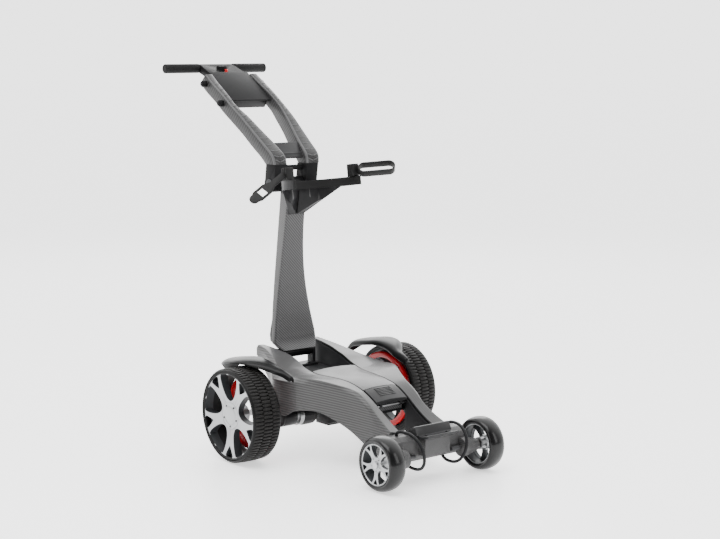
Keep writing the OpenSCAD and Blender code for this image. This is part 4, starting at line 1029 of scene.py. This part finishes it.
# ---- Handle hinge, lever and cross plate ----
# Black end caps on a steel pin with round heads, an arched lever, and a plate on a tie rod.
satin_dark = grained("satin_dark", (0.009, 0.009, 0.0095), 0.42, shine=0.06)
plate_grey = grained("plate_grey", (0.025, 0.025, 0.026), 0.4, coat=0.1)
dressed("arm_caps", "hinge_caps", 2.2, satin_dark, "handle", 3)
pin = cad_copy("handle_pin")
head = turned(
    [(on_axis, 71.5), (13, 71.5), (13, 73.5), (12, 74.6), (5, 75.2), (4.4, 74.4), (on_axis, 74.4)],
    (handle_pin_x, 0, handle_pin_z), 40,
)
mirrored(painted(head, 1))
piece("fold_pin", joined(pin, head), [pin_steel, screw_dark], "handle", ["handle_pin"])
dressed("fold_catch", "fold_lever", 1.8, satin_dark, "fold_lever", 3)
dressed("arm_plate", "cross_plate", 1.2, plate_grey, "handle")

# ---- Handle knobs ----
# Two-step black knobs on both arms.
knobs = cad_copy("handle_bolts")
soften(knobs, 1.2)
steps = []
for s in (0.7, 0.93):
    x, y, z = arm_spot(s, 0.5, 1)
    step = turned([(on_axis, 102.5), (6.4, 102.5), (6.4, 105), (5.6, 106), (on_axis, 106.4)],
                  (x, 0, z), 32)
    mirrored(step)
    steps.append(step)
piece("arm_knobs", joined(knobs, *steps), [satin_dark], "handle", ["handle_bolts"])

# ---- Handle crossbar and grips ----
# A dark yoke, glossy below its middle, and matt soft grips with flat end discs.
yoke_gloss = grained("yoke_gloss", (0.006, 0.006, 0.0065), 0.2, coat=0.6, scale=60.0, depth=0.0001)
bar = cad_copy("handle_bar")
soften(bar, 1.4, 2)
bar.normal_update()
for face in bar.faces:
    if face.normal.z < -0.2 and abs(face.calc_center_median().y) < 0.05:
        face.material_index = 1
piece("handle_crossbar", bar, [satin_dark, yoke_gloss], "handle", ["handle_bar"])
grip_rubber = grained("grip_rubber", (0.007, 0.007, 0.0073), 0.62, scale=1200.0, depth=0.00012)
bar_middle = (-495, 0, 1012)
grip = turned([(10, 58), (12, 58), (12.8, 59), (13, 60.5), (13, 164), (12.6, 164.6), (12.6, 165.6),
               (13, 166.2), (13, 168.6), (12.4, 170.4), (11, 171.6), (9, 172), (8.4, 171.4),
               (on_axis, 171.4), (on_axis, 169), (10, 169), (10, 58)], bar_middle, 56)
bmesh.ops.recalc_face_normals(grip, faces=grip.faces[:])
mirrored(grip)
piece("soft_grips", grip, [grip_rubber], "handle", ["grips"])

# ---- Controls ----
# A flat satin cover over a slim housing between the arms, a ribbed dial and a small red button.
dressed("control_case", "control_housing", 1.6, mast_black, "handle", 3)
panel_satin = grained("panel_satin", (0.015, 0.015, 0.0155), 0.42, scale=90.0, depth=0.00005,
                      shine=0.06)
dressed("control_panel", "control_cover", 1.6, panel_satin, "handle", 3)
dressed("dial", "speed_dial", 0.4, satin_dark, "speed_dial", 1)
button_red = grained("button_red", (0.5, 0.01, 0.012), 0.3, coat=0.4, scale=90.0, depth=0.00005)
dressed("button", "power_button", 0.8, button_red, "power_button")
